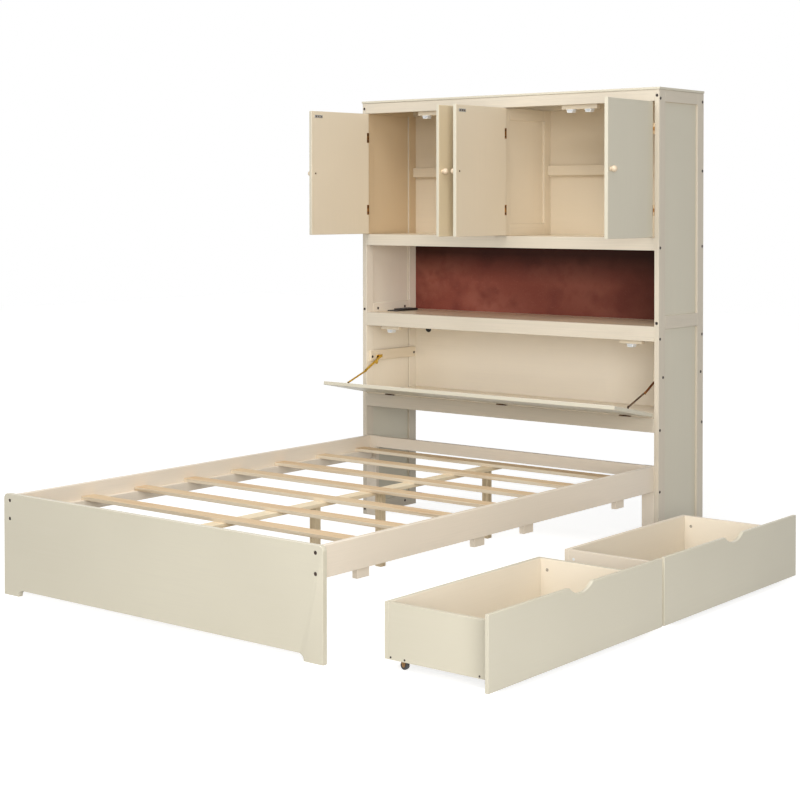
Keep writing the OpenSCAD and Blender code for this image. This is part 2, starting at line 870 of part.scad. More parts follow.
// The upper arm carries the middle rivet, whose head lies on its outer face
module upper_stay() {
  translate([0, stay_head[0], stay_head[1]]) rotate([upper_turn, 0, 0]) {
    arm(upper_x, upper_arm, upper_arm_w);
    translate([0, lobe_at, lobe_drop]) bar_x(lobe_r, upper_x, upper_x + arm_t);
    translate([0, upper_arm, 0]) {
      bar_x(stay_pin_r + pin_clear, upper_x, upper_x + arm_t);
      bar_x(2 * stay_pin_r, upper_x + arm_t, upper_x + 2 * arm_t);
    }
  }
}

module lower_stay() {
  translate([0, foot_at[0], foot_at[1]]) rotate([lower_turn, 0, 0]) arm(lower_x, lower_arm, lower_arm_w);
}

module left_upper_arm() {
  color(brass) place() mirror([1, 0, 0]) upper_stay();
}

module left_lower_arm() {
  color(brass) place() mirror([1, 0, 0]) lower_stay();
}

module right_upper_arm() {
  color(brass) place() upper_stay();
}

module right_lower_arm() {
  color(brass) place() lower_stay();
}

// Puts a part at a drawer, its length centred on the drawer's middle
module at_drawer(i) {
  translate([0, drawer_mids[i], 0]) children();
}

module drawer_front(i) {
  color(cream) place() at_drawer(i) difference() {
    block([front_in, -front_len / 2, front_z], [front_out, front_len / 2, front_top]);
    translate([0, 0, front_top - notch_d + notch_r])
      bar_x(notch_r, front_in - cut, front_out + cut);
  }
}

module bottom_board() {
  inset = wall_t - bottom_tongue;
  block([box_back + inset, -box_len / 2 + inset, bottom_z],
    [front_in, box_len / 2 - inset, bottom_z + bottom_t]);
}

module drawer_walls(i) {
  color(warm_cream) place() at_drawer(i) difference() {
    block([box_back, -box_len / 2, box_z], [front_in, box_len / 2, box_top]);
    block([box_back + wall_t, -box_len / 2 + wall_t, box_z - cut],
      [front_in + cut, box_len / 2 - wall_t, box_top + cut]);
    bottom_board();
  }
}

module drawer_bottom(i) {
  color(warm_cream) place() at_drawer(i) bottom_board();
}

// Places of a drawer's casters: two at the back, then two at the front
caster_spots = [
  for (x = [box_back + caster_in_x, front_in - caster_in_x], side = [-1, 1])
    [x, side * (box_len / 2 - caster_in_y)]
];

// Fixed caster forks under the drawer bottom, each with its axle
module drawer_forks(i) {
  crown_z = 2 * wheel_r + 2;
  plate_half = caster_in_y - wall_t - 1;
  color(black) place() at_drawer(i)
    for (spot = caster_spots)
      translate([spot[0], spot[1], 0]) {
        block([-16, -plate_half, bottom_z - plate_t], [16, plate_half, bottom_z]);
        block([-10, -fork_half - cheek_t, crown_z],
          [10, fork_half + cheek_t, bottom_z - plate_t]);
        for (side = [-1, 1])
          translate([0, side * (fork_half + cheek_t / 2), 0])
            block([-6, -cheek_t / 2, wheel_r - 5], [6, cheek_t / 2, crown_z]);
        translate([0, 0, wheel_r]) bar_y(axle_r, -fork_half - cheek_t, fork_half + cheek_t);
      }
}

module caster_wheel(i, k) {
  color(black) place() at_drawer(i)
    translate([caster_spots[k][0], caster_spots[k][1], wheel_r]) difference() {
      bar_y(wheel_r, -wheel_w / 2, wheel_w / 2);
      bar_y(axle_r + pin_clear, -wheel_w / 2 - cut, wheel_w / 2 + cut);
    }
}

left_side_frame();
right_side_frame();
frame_panels();
top_board();
front_rails();
back_rails();
shelf_board();
desk_board();
compartment_floor();
divider_frame();
upper_back_panels();
shelf_back_board();
lower_back_panel();
fitting_blocks();
magnet_catches();
outlet_and_grommet();
cabinet_hinges();
head_frame();
side_rail_left();
side_rail_right();
ledges_and_stops();
centre_beam();
centre_legs();
slats();
footboard();
frame_bolts();
door_panel(0);  // left_outer_door
door_knob(0);  // left_outer_knob
door_fittings(0);  // left_outer_fittings
door_panel(1);  // left_inner_door
door_knob(1);  // left_inner_knob
door_fittings(1);  // left_inner_fittings
door_panel(2);  // right_inner_door
door_knob(2);  // right_inner_knob
door_fittings(2);  // right_inner_fittings
door_panel(3);  // right_outer_door
door_knob(3);  // right_outer_knob
door_fittings(3);  // right_outer_fittings
flap();
flap_fittings();
left_upper_arm();
left_lower_arm();
right_upper_arm();
right_lower_arm();
drawer_front(0);  // foot_drawer_front
drawer_walls(0);  // foot_drawer_walls
drawer_bottom(0);  // foot_drawer_bottom
drawer_forks(0);  // foot_drawer_forks
caster_wheel(0, 0);  // foot_wheel_1
caster_wheel(0, 1);  // foot_wheel_2
caster_wheel(0, 2);  // foot_wheel_3
caster_wheel(0, 3);  // foot_wheel_4
drawer_front(1);  // head_drawer_front
drawer_walls(1);  // head_drawer_walls
drawer_bottom(1);  // head_drawer_bottom
drawer_forks(1);  // head_drawer_forks
caster_wheel(1, 0);  // head_wheel_1
caster_wheel(1, 1);  // head_wheel_2
caster_wheel(1, 2);  // head_wheel_3
caster_wheel(1, 3);  // head_wheel_4
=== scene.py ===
"""The storage bed's finishes and fittings, built around its packed construction."""

import collections
import contextlib
import itertools
import json
import math

import bmesh
import bpy
from mathutils import Matrix, Vector


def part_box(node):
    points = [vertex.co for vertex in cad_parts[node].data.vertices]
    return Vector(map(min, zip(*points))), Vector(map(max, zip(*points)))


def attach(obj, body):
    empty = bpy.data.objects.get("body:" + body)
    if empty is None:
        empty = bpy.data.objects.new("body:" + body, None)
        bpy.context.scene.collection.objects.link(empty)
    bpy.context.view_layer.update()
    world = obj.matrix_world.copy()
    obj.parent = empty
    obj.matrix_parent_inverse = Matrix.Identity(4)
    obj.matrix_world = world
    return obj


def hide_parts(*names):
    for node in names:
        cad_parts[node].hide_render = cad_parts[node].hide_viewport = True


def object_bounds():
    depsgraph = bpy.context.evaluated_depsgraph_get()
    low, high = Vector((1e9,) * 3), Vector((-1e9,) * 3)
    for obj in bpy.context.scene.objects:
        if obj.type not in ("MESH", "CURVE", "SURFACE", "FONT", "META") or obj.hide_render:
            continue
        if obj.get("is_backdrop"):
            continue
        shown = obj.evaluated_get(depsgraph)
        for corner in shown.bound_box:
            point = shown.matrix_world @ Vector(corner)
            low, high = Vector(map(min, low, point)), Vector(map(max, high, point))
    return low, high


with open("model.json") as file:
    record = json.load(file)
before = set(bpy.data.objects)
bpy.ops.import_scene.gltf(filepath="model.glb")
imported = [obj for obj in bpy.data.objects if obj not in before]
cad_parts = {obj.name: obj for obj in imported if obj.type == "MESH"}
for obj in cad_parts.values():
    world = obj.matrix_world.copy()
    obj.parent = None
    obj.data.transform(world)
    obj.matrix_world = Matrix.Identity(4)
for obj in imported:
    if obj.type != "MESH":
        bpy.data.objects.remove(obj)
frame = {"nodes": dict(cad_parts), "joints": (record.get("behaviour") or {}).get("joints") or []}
cad_low, cad_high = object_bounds()
nodes = frame["nodes"]
joints = {joint["name"]: joint for joint in frame["joints"]}

HERE = Matrix.Identity(4)
X, Y, Z = 0, 1, 2
FORWARDS, BACKWARDS, DOWNWARDS = Vector((0, -1, 0)), Vector((0, 1, 0)), Vector((0, 0, -1))


# Camera

# Where the photograph was taken from, in metres and degrees, solved from the object's edges
CAMERA_AT = (3.6587, -4.8390, 1.3386)
CAMERA_YAW = 39.17
CAMERA_PITCH = -1.12
CAMERA_ROLL = -0.06
# The photograph's side, focal length and optical centre, in its pixels
PHOTO_SIDE = 800
FOCAL_PIXELS = 1694.9
OPTICAL_CENTRE = (375.25, 237.3)
SENSOR_MM = 36


def put_in(name, data):
    """Puts a new object in the scene."""
    thing = bpy.data.objects.new(name, data)
    bpy.context.scene.collection.objects.link(thing)
    return thing


def add_camera():
    data = bpy.data.cameras.new("camera")
    data.sensor_width = SENSOR_MM
    data.lens = SENSOR_MM * FOCAL_PIXELS / PHOTO_SIDE
    data.shift_x = 0.5 - OPTICAL_CENTRE[0] / PHOTO_SIDE
    data.shift_y = OPTICAL_CENTRE[1] / PHOTO_SIDE - 0.5
    camera = put_in("camera", data)
    turns = [(CAMERA_YAW, "Z"), (90 + CAMERA_PITCH, "X"), (CAMERA_ROLL, "Z")]
    turned = Matrix.Translation(CAMERA_AT)
    for angle, axis in turns:
        turned = turned @ Matrix.Rotation(math.radians(angle), 4, axis)
    camera.matrix_world = turned
    bpy.context.scene.camera = camera


add_camera()


# Node trees


def srgb(code):
    """The linear colour of an sRGB hex code."""
    parts = [int(code[i : i + 2], 16) / 255 for i in (1, 3, 5)]
    linear = [p / 12.92 if p <= 0.04045 else ((p + 0.055) / 1.055) ** 2.4 for p in parts]
    return (*linear, 1.0)


def add_node(tree, kind, inputs=None, **settings):
    """Adds a node with its settings. inputs holds values, or the sockets that feed them."""
    node = tree.nodes.new(kind)
    for name, value in settings.items():
        setattr(node, name, value)
    for name, value in (inputs or {}).items():
        if isinstance(value, bpy.types.NodeSocket):
            tree.links.new(value, node.inputs[name])
        else:
            node.inputs[name].default_value = value
    return node


# Materials


def new_finish(name, **shader):
    """A material with its shader's own sockets set, and the node tree to add to."""
    finish = bpy.data.materials.new(name)
    finish.use_nodes = True
    tree = finish.node_tree
    surface = tree.nodes["Principled BSDF"]
    for socket, value in shader.items():
        surface.inputs[socket.replace("_", " ")].default_value = value
    return finish, tree, surface


def shaded(colour, share):
    """A hex colour made lighter or darker by a share."""
    parts = [min(255, round(int(colour[i : i + 2], 16) * share)) for i in (1, 3, 5)]
    return "#%02x%02x%02x" % tuple(parts)


# A colour that shows where a cloudy pattern rises from low to high. The pattern's patches are size
# millimetres across, and drawn out along the board where along is below 1.
Layer = collections.namedtuple(
    "Layer", "size along low high colour detail rough", defaults=(2, 0.5))


def blend(tree, tone, colour, value, low, high, most=1.0):
    """Mixes a colour over a tone, its share rising to most as a value goes from low to high."""
    band = {"Value": value, "From Min": low, "From Max": high, "To Max": most}
    share = add_node(tree, "ShaderNodeMapRange", band).outputs[0]
    both = {0: share, 6: tone, 7: srgb(colour)}
    return add_node(tree, "ShaderNodeMix", both, data_type="RGBA").outputs[2]


def build_up(tree, place, base, layers):
    """Lays colours over a base colour, and gives the tone and each layer's pattern."""
    tone, patterns = srgb(base), []
    for layer in layers:
        stretch = {"Vector": place, "Scale": (layer.along, 1, 1)}
        drawn = add_node(tree, "ShaderNodeMapping", stretch).outputs[0]
        cloud = {"Vector": drawn, "Scale": 1000 / layer.size}
        cloud.update({"Detail": layer.detail, "Roughness": layer.rough})
        patterns.append(add_node(tree, "ShaderNodeTexNoise", cloud).outputs["Fac"])
        tone = blend(tree, tone, layer.colour, patterns[-1], layer.low, layer.high)
    return tone, patterns


def dress(tree, surface, tone, height, depth, strength):
    """Gives a surface its tone, and a relief as many metres deep as a pattern is high."""
    relief = {"Height": height, "Distance": depth, "Strength": strength}
    normal = add_node(tree, "ShaderNodeBump", relief).outputs[0]
    tree.links.new(tone, surface.inputs["Base Color"])
    tree.links.new(normal, surface.inputs["Normal"])


def satin_lacquer(name, colour, grain, roughness=0.42):
    """Sprayed satin lacquer over pine or smooth board: an even, soft gloss in which the grain lifts
    as faint long streaks that catch the light, and the tone drifts slowly from board to board."""
    gloss = {"Roughness": roughness, "Coat_Weight": 0.12, "Coat_Roughness": 0.25}
    finish, tree, surface = new_finish(name, **gloss)
    board = add_node(tree, "ShaderNodeAttribute", attribute_name="grain").outputs["Vector"]
    # Growth lines of pine are about 5 mm apart and 250 mm long
    layers = [
        Layer(420, 1, 0.3, 0.7, shaded(colour, 0.975), 1),
        Layer(5, 0.02, 0.42, 0.75, shaded(colour, 1 - 0.05 * grain), 3, 0.6),
    ]
    tone, (_, lines) = build_up(tree, board, colour, layers)
    # Spray texture is 1 mm fine, drawn at 4 mm so that it shows
    fine = {"Vector": board, "Scale": 1000 / 4, "Detail": 1}
    spray = add_node(tree, "ShaderNodeTexNoise", fine).outputs["Fac"]
    height = add_node(tree, "ShaderNodeMath", {0: lines, 1: spray}, operation="ADD").outputs[0]
    dress(tree, surface, tone, height, 0.00012 * grain, 0.5)
    return finish


def planed_pine(name, early, late):
    """Bare planed pine: pale early wood with tan growth lines that run the board's length, darker
    fibres between them and a few small knots, on a dry surface with a low sheen."""
    finish, tree, surface = new_finish(name, Roughness=0.7, Specular_IOR_Level=0.3)
    board = add_node(tree, "ShaderNodeAttribute", attribute_name="grain").outputs["Vector"]
    # Growth lines are 7 mm apart and 400 mm long; fibres are under 1 mm wide, drawn at 2 mm
    layers = [
        Layer(7, 0.018, 0.4, 0.66, late),
        Layer(7, 0.018, 0.62, 0.74, shaded(late, 0.82)),
        Layer(2, 0.02, 0.35, 0.8, shaded(early, 0.9), 2, 0.6),
        Layer(300, 1, 0.35, 0.7, shaded(early, 0.96), 1),
    ]
    tone, (_, _, fibres, _) = build_up(tree, board, early, layers)
    # One or two knots to a slat, about 12 mm across
    stretch = {"Vector": board, "Scale": (0.45, 1, 1)}
    drawn = add_node(tree, "ShaderNodeMapping", stretch).outputs[0]
    cells = add_node(tree, "ShaderNodeTexVoronoi", {"Vector": drawn, "Scale": 7.0}).outputs
    tone = blend(tree, tone, "#8A5A36", cells["Distance"], 0.075, 0.03)
    dress(tree, surface, tone, fibres, 0.00015, 0.5)
    return finish


# Where painted shade on the red-brown board starts to deepen and where it is deepest, in metres:
# across the board's 1.4 m towards its right end, and up to its top edge under the shelf
RED_SHADE_LEFT_TO_RIGHT = (-0.7, 0.45)
RED_SHADE_UNDER_SHELF = (1.0, 1.125)


def mottled_board(name):
    """Smooth hardboard with a cloudy red-brown stain: broad dark and light clouds, finer flecks
    inside them and a low satin sheen, with shade painted in towards its right end and its top edge."""
    finish, tree, surface = new_finish(name, Roughness=0.55, Specular_IOR_Level=0.15)
    board = add_node(tree, "ShaderNodeAttribute", attribute_name="grain").outputs["Vector"]
    layers = [
        Layer(260, 0.8, 0.38, 0.64, "#8A493C", 1),
        Layer(110, 0.9, 0.5, 0.72, "#7A3E34"),
        Layer(40, 1, 0.5, 0.9, "#884639"),
        Layer(6, 1, 0.58, 0.9, "#A6675A", 2, 0.7),
    ]
    tone, (_, _, _, flecks) = build_up(tree, board, "#A05F4F", layers)
    # Painted shade: darker towards the right end, and nearly black along the top edge under the
    # shelf
    place = add_node(tree, "ShaderNodeTexCoord").outputs["Object"]
    spot = add_node(tree, "ShaderNodeSeparateXYZ", {0: place}).outputs
    tone = blend(tree, tone, "#4B2419", spot["X"], *RED_SHADE_LEFT_TO_RIGHT, 0.88)
    tone = blend(tree, tone, "#1E0C08", spot["Z"], *RED_SHADE_UNDER_SHELF, 0.85)
    dress(tree, surface, tone, flecks, 0.0001, 0.4)
    return finish


def worked_metal(name, colour, worn, roughness, metallic=1.0):
    """Plated or painted sheet metal: an even coat with rubbed patches that are brighter and
    smoother where hands and tools touch it."""
    finish, tree, surface = new_finish(name, Metallic=metallic)
    place = add_node(tree, "ShaderNodeTexCoord").outputs["Object"]
    # Rubbed patches 14 mm across; rolled sheet has a fine tooth, drawn at 1.5 mm
    coat = Layer(14, 1, 0.42, 0.68, worn, 3)
    tone, (rub,) = build_up(tree, place, colour, [coat])
    band = {"Value": rub, "From Min": coat.low, "From Max": coat.high}
    band.update({"To Min": roughness, "To Max": roughness * 0.75})
    gloss = add_node(tree, "ShaderNodeMapRange", band).outputs[0]
    tree.links.new(gloss, surface.inputs["Roughness"])
    fine = {"Vector": place, "Scale": 1000 / 1.5, "Detail": 1}
    tooth = add_node(tree, "ShaderNodeTexNoise", fine).outputs["Fac"]
    dress(tree, surface, tone, tooth, 0.00003, 0.5)
    return finish


def moulded_plastic(name, colour, roughness):
    """Injection-moulded plastic: one even colour with a fine spark-eroded texture, 1 mm across."""
    finish, tree, surface = new_finish(name, Roughness=roughness, IOR=1.53)
    place = add_node(tree, "ShaderNodeTexCoord").outputs["Object"]
    tone, _ = build_up(tree, place, colour, [Layer(30, 1, 0.3, 0.7, shaded(colour, 0.94))])
    fine = {"Vector": place, "Scale": 1000, "Detail": 1}
    sparks = add_node(tree, "ShaderNodeTexNoise", fine).outputs["Fac"]
    dress(tree, surface, tone, sparks, 0.00002, 0.6)
    return finish


# Every finish with what its maker is told, under the record's material slot that it belongs to
PALETTE = {
    "cream_paint": (satin_lacquer, {
        "paint": ("cream_satin_lacquer_on_pine", "#D4C9B6", 1.0),
        "panel": ("cream_satin_lacquer_on_board", "#D1CAB6", 0.25),
        "rail": ("pink_cream_satin_lacquer_on_pine", "#E8DBC9", 0.5),
        "warm": ("warm_cream_lacquer_on_pine", "#E4D5BC", 0.8),
        "lining": ("warm_cream_lacquer_on_board", "#E4D5BC", 0.25),
        # A paler cream: painted light inside the shelf and the flap's compartment
        "pale": ("pale_cream_lacquer_on_board", "#F0E6D4", 0.25),
        "inside": ("soft_cream_lacquer_on_board", "#E8DECC", 0.25),
        "white_lining": ("milky_lacquer_on_board", "#FBF4E6", 0.2),
        # A honey cream: painted shade inside the door bays
        "honey": ("honey_lacquer_on_board", "#D5BC98", 0.25),
        "desk": ("rubbed_cream_lacquer_on_board", "#D8C7AB", 0.2, 0.24),
        # A golden cream that is a painted warm reflection of the red-brown board
        "golden": ("golden_cream_lacquer_on_board", "#DBC8A6", 0.25),
        "beech": ("clear_lacquer_on_beech", "#E0CBAE", 0.4, 0.35),
    }),
    "natural_pine": (planed_pine, {
        "pine": ("bare_planed_pine", "#E0C7A2", "#CB9F72"),
        "sawn": ("sawn_pine_edge", "#E2D3BA", "#C6A882"),
        "leg": ("greyed_planed_pine", "#EAD7B4", "#C2A67E"),
        "beam": ("yellow_planed_pine", "#F6E6C8", "#E2C292"),
    }),
    "red_board": (mottled_board, {
        "red": ("mottled_red_brown_hardboard",),
    }),
    "brown_steel": (worked_metal, {
        "bronze": ("bronzed_steel_sheet", "#4C382A", "#74583E", 0.42),
        "bolt": ("burnished_steel_bolt", "#20150F", "#3A261C", 0.6, 0.0),
        # Pale brass: a painted reflection of white on the hinges' outer knuckles
        "pale_brass": ("pale_brass_plated_steel", "#C3A680", "#DAC29C", 0.4, 0.5),
        # Dark brass: painted shade on the hinges seen inside the cabinet
        "brass_painted_shade": ("aged_brass_plated_steel", "#8A5E34", "#B98A4E", 0.38),
        "zinc": ("bright_zinc_plated_steel", "#9EA3A8", "#C4C8CC", 0.34),
    }),
    "brass": (worked_metal, {
        "brass": ("brass_plated_steel", "#CBA340", "#E5C662", 0.3),
        "copper": ("copper_brown_plated_steel", "#7A4A2C", "#A06A44", 0.4),
    }),
    "black_steel": (worked_metal, {
        "black_steel": ("black_painted_steel", "#1E1A18", "#3A2C22", 0.45, 0.5),
        "fork": ("tan_plated_caster_steel", "#7C5A36", "#A27C4C", 0.45, 0.4),
    }),
    "white_plastic": (moulded_plastic, {
        "white": ("white_moulded_abs", "#EEEFEE", 0.36),
    }),
    "black_plastic": (moulded_plastic, {
        "black": ("black_moulded_abs", "#1B1B1D", 0.38),
        "tread": ("grey_moulded_nylon", "#3A3A3E", 0.4),
    }),
}
FINISHES = {key: make(*told) for make, rows in PALETTE.values() for key, told in rows.items()}
SLOTS = {key: slot for slot, (_, rows) in PALETTE.items() for key in rows}


# Solids

# Corners sharper than this are rounded or kept crisp
SHARP = math.radians(28)
# Points nearer than this are one point
MERGE = 2e-6
# Rounding of sanded and painted corners
SOFT = 0.0013


def mm(*values):
    """Millimetres as metres: one number, or a vector of several."""
    metres = [value / 1000 for value in values]
    return metres[0] if len(metres) == 1 else Vector(metres)


def box(low, high):
    solid = bmesh.new()
    low, high = Vector(low), Vector(high)
    size = Matrix.Diagonal((*(high - low), 1))
    bmesh.ops.create_cube(solid, size=1, matrix=Matrix.Translation((low + high) / 2) @ size)
    return solid


def soften(solid, width=SOFT, segments=2):
    """Rounds a solid's outer corners, as sanding and paint do."""
    solid.normal_update()
    sharp = [e for e in solid.edges if e.is_convex and e.calc_face_angle(0) > SHARP]
    rounding = {"offset": width, "segments": segments, "profile": 0.5, "affect": "EDGES"}
    made = bmesh.ops.bevel(solid, geom=sharp, clamp_overlap=True, **rounding)
    for face in made["faces"]:
        face.smooth = True
    return solid


def rounded_box(low, high, soft=SOFT, segments=2):
    """A board or plate with its corners rounded."""
    return soften(box(low, high), soft, segments)


def rounded_boxes(boards, soft=SOFT, segments=2):
    return [rounded_box(*ends, soft, segments) for ends in boards]


def lathe(profile, place=HERE, segments=24, closed=False):
    """A turned solid about Z. profile holds (radius, distance along the axis) in millimetres.
    A closed profile goes on from its last point to its first, as a ring's does."""
    solid = bmesh.new()
    rows = []
    full = 2 * math.pi / segments
    for radius, distance in profile:
        count = segments if radius > 0 else 1
        turns = [full * k for k in range(count)]
        row = [mm(radius * math.cos(t), radius * math.sin(t), distance) for t in turns]
        rows.append([solid.verts.new(point) for point in row])
    following = rows[1:] + (rows[:1] if closed else [])
    for row, after in zip(rows, following):
        for k in range(segments):
            n = (k + 1) % segments
            around = [(row, k), (row, n), (after, n), (after, k)]
            corners = list(dict.fromkeys(ring[at % len(ring)] for ring, at in around))
            if len(corners) > 2:
                solid.faces.new(corners)
    for row in (rows[0], rows[-1]):
        if not closed and len(row) > 1:
            solid.faces.new(row)
    bmesh.ops.recalc_face_normals(solid, faces=solid.faces)
    crease(solid)
    solid.transform(place)
    return solid


def crease(solid):
    """Smooth faces with crisp corners."""
    solid.normal_update()
    for face in solid.faces:
        face.smooth = True
    for edge in solid.edges:
        edge.smooth = edge.calc_face_angle(0) < SHARP


def prism(outline, low, high, axis):
    """A plate of an outline in the two axes after its own, between two distances along it."""
    solid = bmesh.new()
    ends = []
    for distance in (low, high):
        points = [(distance, a, b) for a, b in outline]
        ends.append([solid.verts.new(point[-axis:] + point[:-axis]) for point in points])
    first, last = ends
    sides = zip(first, first[1:] + first[:1], last[1:] + last[:1], last)
    for corners in (*sides, first, last):
        solid.faces.new(corners)
    bmesh.ops.recalc_face_normals(solid, faces=solid.faces)
    return solid


def arc(centre, radius, start, end, steps=8):
    """Points of an arc, its angles in degrees."""
    angles = [math.radians(start + (end - start) * k / steps) for k in range(steps + 1)]
    return [(centre[0] + radius * math.cos(a), centre[1] + radius * math.sin(a)) for a in angles]


def along(axis, point=(0, 0, 0), sign=1):
    """Turns Z onto another axis, and moves the origin to a point."""
    turn = HERE if sign > 0 else Matrix.Rotation(math.pi, 4, "X")
    if axis == X:
        turn = Matrix.Rotation(sign * math.pi / 2, 4, "Y")
    if axis == Y:
        turn = Matrix.Rotation(-sign * math.pi / 2, 4, "X")
    return Matrix.Translation(point) @ turn


def drill(radius, place, end, start=0, segments=20):
    """A cutter for a round hole, from millimetres along its axis."""
    return lathe([(radius, start), (radius, end)], place, segments)


def groups(solid):
    """The vertices of each separate body in a mesh, in the order of their first vertex."""
    seen = set()
    for start in solid.verts:
        if start in seen:
            continue
        seen.add(start)
        group = [start]
        for vert in group:
            for edge in vert.link_edges:
                other = edge.other_vert(vert)
                if other not in seen:
                    seen.add(other)
                    group.append(other)
        yield group


def extent(verts):
    low = Vector([min(v.co[a] for v in verts) for a in range(3)])
    high = Vector([max(v.co[a] for v in verts) for a in range(3)])
    return low, high


def cad_copy(node, undo=HERE):
    """A CAD node's mesh with its triangles merged into whole flat faces."""
    solid = bmesh.new()
    solid.from_mesh(nodes[node].data)
    solid.transform(undo)
    bmesh.ops.remove_doubles(solid, verts=solid.verts, dist=MERGE)
    flat = math.radians(0.5)
    bmesh.ops.dissolve_limit(solid, angle_limit=flat, verts=solid.verts, edges=solid.edges)
    return solid


def cad_boxes(node, undo=HERE):
    """The lowest and highest corner of each solid in a CAD node, sorted."""
    solid = cad_copy(node, undo)
    found = [extent(group) for group in groups(solid)]
    solid.free()
    return sorted(found, key=lambda ends: tuple(round(v, 4) for v in ends[0]))


# Pieces

board_numbers = itertools.count(1)
# Far enough apart that no two boards share a stretch of grain
GRAIN_STEP = 1.71


@contextlib.contextmanager
def edited(mesh):
    """Opens a mesh for changes and puts the result back."""
    solid = bmesh.new()
    solid.from_mesh(mesh)
    yield solid
    solid.to_mesh(mesh)
    solid.free()


def lay_grain(mesh):
    """Gives each board its own coordinates: along its longest side, across it and through it."""
    with edited(mesh) as solid:
        layer = solid.verts.layers.float_vector.new("grain")
        for group in groups(solid):
            low, high = extent(group)
            middle = (low + high) / 2
            order = sorted(range(3), key=lambda a: round(low[a] - high[a], 4))
            shift = next(board_numbers) * GRAIN_STEP
            for vert in group:
                local = vert.co - middle
                vert[layer] = Vector([local[a] + shift for a in order])


def joined(solids):
    """Several solids as one mesh."""
    whole = bmesh.new()
    for solid in solids:
        part = bpy.data.meshes.new("part")
        solid.to_mesh(part)
        solid.free()
        whole.from_mesh(part)
        bpy.data.meshes.remove(part)
    mesh = bpy.data.meshes.new("joined")
    whole.to_mesh(mesh)
    whole.free()
    return mesh


def settled(piece):
    """Replaces a piece's mesh by what its modifiers make of it."""
    graph = bpy.context.evaluated_depsgraph_get()
    mesh = bpy.data.meshes.new_from_object(piece.evaluated_get(graph))
    piece.modifiers.clear()
    piece.data = mesh


def cut_away(piece, cutters):
    """Cuts holes and seats into a piece."""
    tool = put_in("cutter", joined(cutters))
    cut = piece.modifiers.new("cut", "BOOLEAN")
    cut.operation = "DIFFERENCE"
    cut.solver = "EXACT"
    cut.object = tool
    settled(piece)
    bpy.data.objects.remove(tool)


def split_at(mesh, heights):
    """Cuts a mesh's faces where they cross some heights."""
    with edited(mesh) as solid:
        for height in heights:
            whole = [*solid.verts, *solid.edges, *solid.faces]
            level = {"plane_co": (0, 0, height), "plane_no": (0, 0, 1)}
            bmesh.ops.bisect_plane(solid, geom=whole, dist=MERGE, **level)


# Least cosine between a face's normal and the way to a point that the face looks towards
LOOKS_AT = 0.2


def line_inside(mesh, finish, towards, *heights):
    """Gives another finish to the faces that look towards a point, all of them or those between
    two heights."""
    if heights:
        split_at(mesh, heights)
    bottom, top = heights or (-math.inf, math.inf)
    index = len(mesh.materials)
    mesh.materials.append(FINISHES[finish])
    for face in mesh.polygons:
        facing = face.normal.dot((towards - face.center).normalized()) > LOOKS_AT
        if facing and bottom < face.center.z < top:
            face.material_index = index


def hand_over(piece, body, finish, stands_for):
    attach(piece, body)
    if stands_for:
        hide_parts(*stands_for)


def add_piece(name, solids, finish, body="root", stands_for=(), pose=HERE, cutters=(), linings=()):
    """Makes one piece of the bed from its solids, drawn shut and then turned to its rest pose.
    Each lining holds a finish, a point that its faces look towards and maybe two heights."""
    piece = put_in(name, joined(solids))
    if cutters:
        cut_away(piece, cutters)
    lay_grain(piece.data)
    piece.data.name = name
    piece.data.materials.clear()
    piece.data.materials.append(FINISHES[finish])
    for lining in linings:
        line_inside(piece.data, *lining)
    piece.data.transform(pose)
    hand_over(piece, body, finish, stands_for)
    return piece


def opened(joint_name):
    """Turns a part that is drawn shut to where its hinge holds it at rest."""
    joint = joints[joint_name]
    shut = max(joint["range_deg"], key=abs)
    at = Matrix.Translation(joint["pos_m"])
    return at @ Matrix.Rotation(math.radians(-shut), 4, Vector(joint["axis"])) @ at.inverted()


# Screws, bolts and nails


def start_tree(name, inputs):
    """A Geometry Nodes tree with named inputs, and what feeds them."""
    tree = bpy.data.node_groups.new(name, "GeometryNodeTree")
    for label, (kind, value) in inputs.items():
        socket = tree.interface.new_socket(label, in_out="INPUT", socket_type="NodeSocket" + kind)
        if value is not None:
            socket.default_value = value
    tree.interface.new_socket("Geometry", in_out="OUTPUT", socket_type="NodeSocketGeometry")
    return tree, tree.nodes.new("NodeGroupInput").outputs


def end_tree(tree, instances, finish):
    """Makes a tree's instances real and gives them their finish."""
    real = add_node(tree, "GeometryNodeRealizeInstances", {"Geometry": instances}).outputs[0]
    inputs = {"Geometry": real, "Material": finish}
    painted = add_node(tree, "GeometryNodeSetMaterial", inputs).outputs[0]
    add_node(tree, "NodeGroupOutput", {"Geometry": painted})


# Shares of a head's radius: width of each kind of recess, width of a cross's slot, and its top's
# radius
RECESS_WIDTH = {"cross": 1.3, "hexagon": 0.5, "none": 1.3}
SLOT_WIDTH, HEAD_TAPER = 0.28, 0.88
# Share of its height by which the cutter of its recess is lifted, and the sides of its outline
RECESS_LIFT, HEAD_SIDES = 1.35, 20


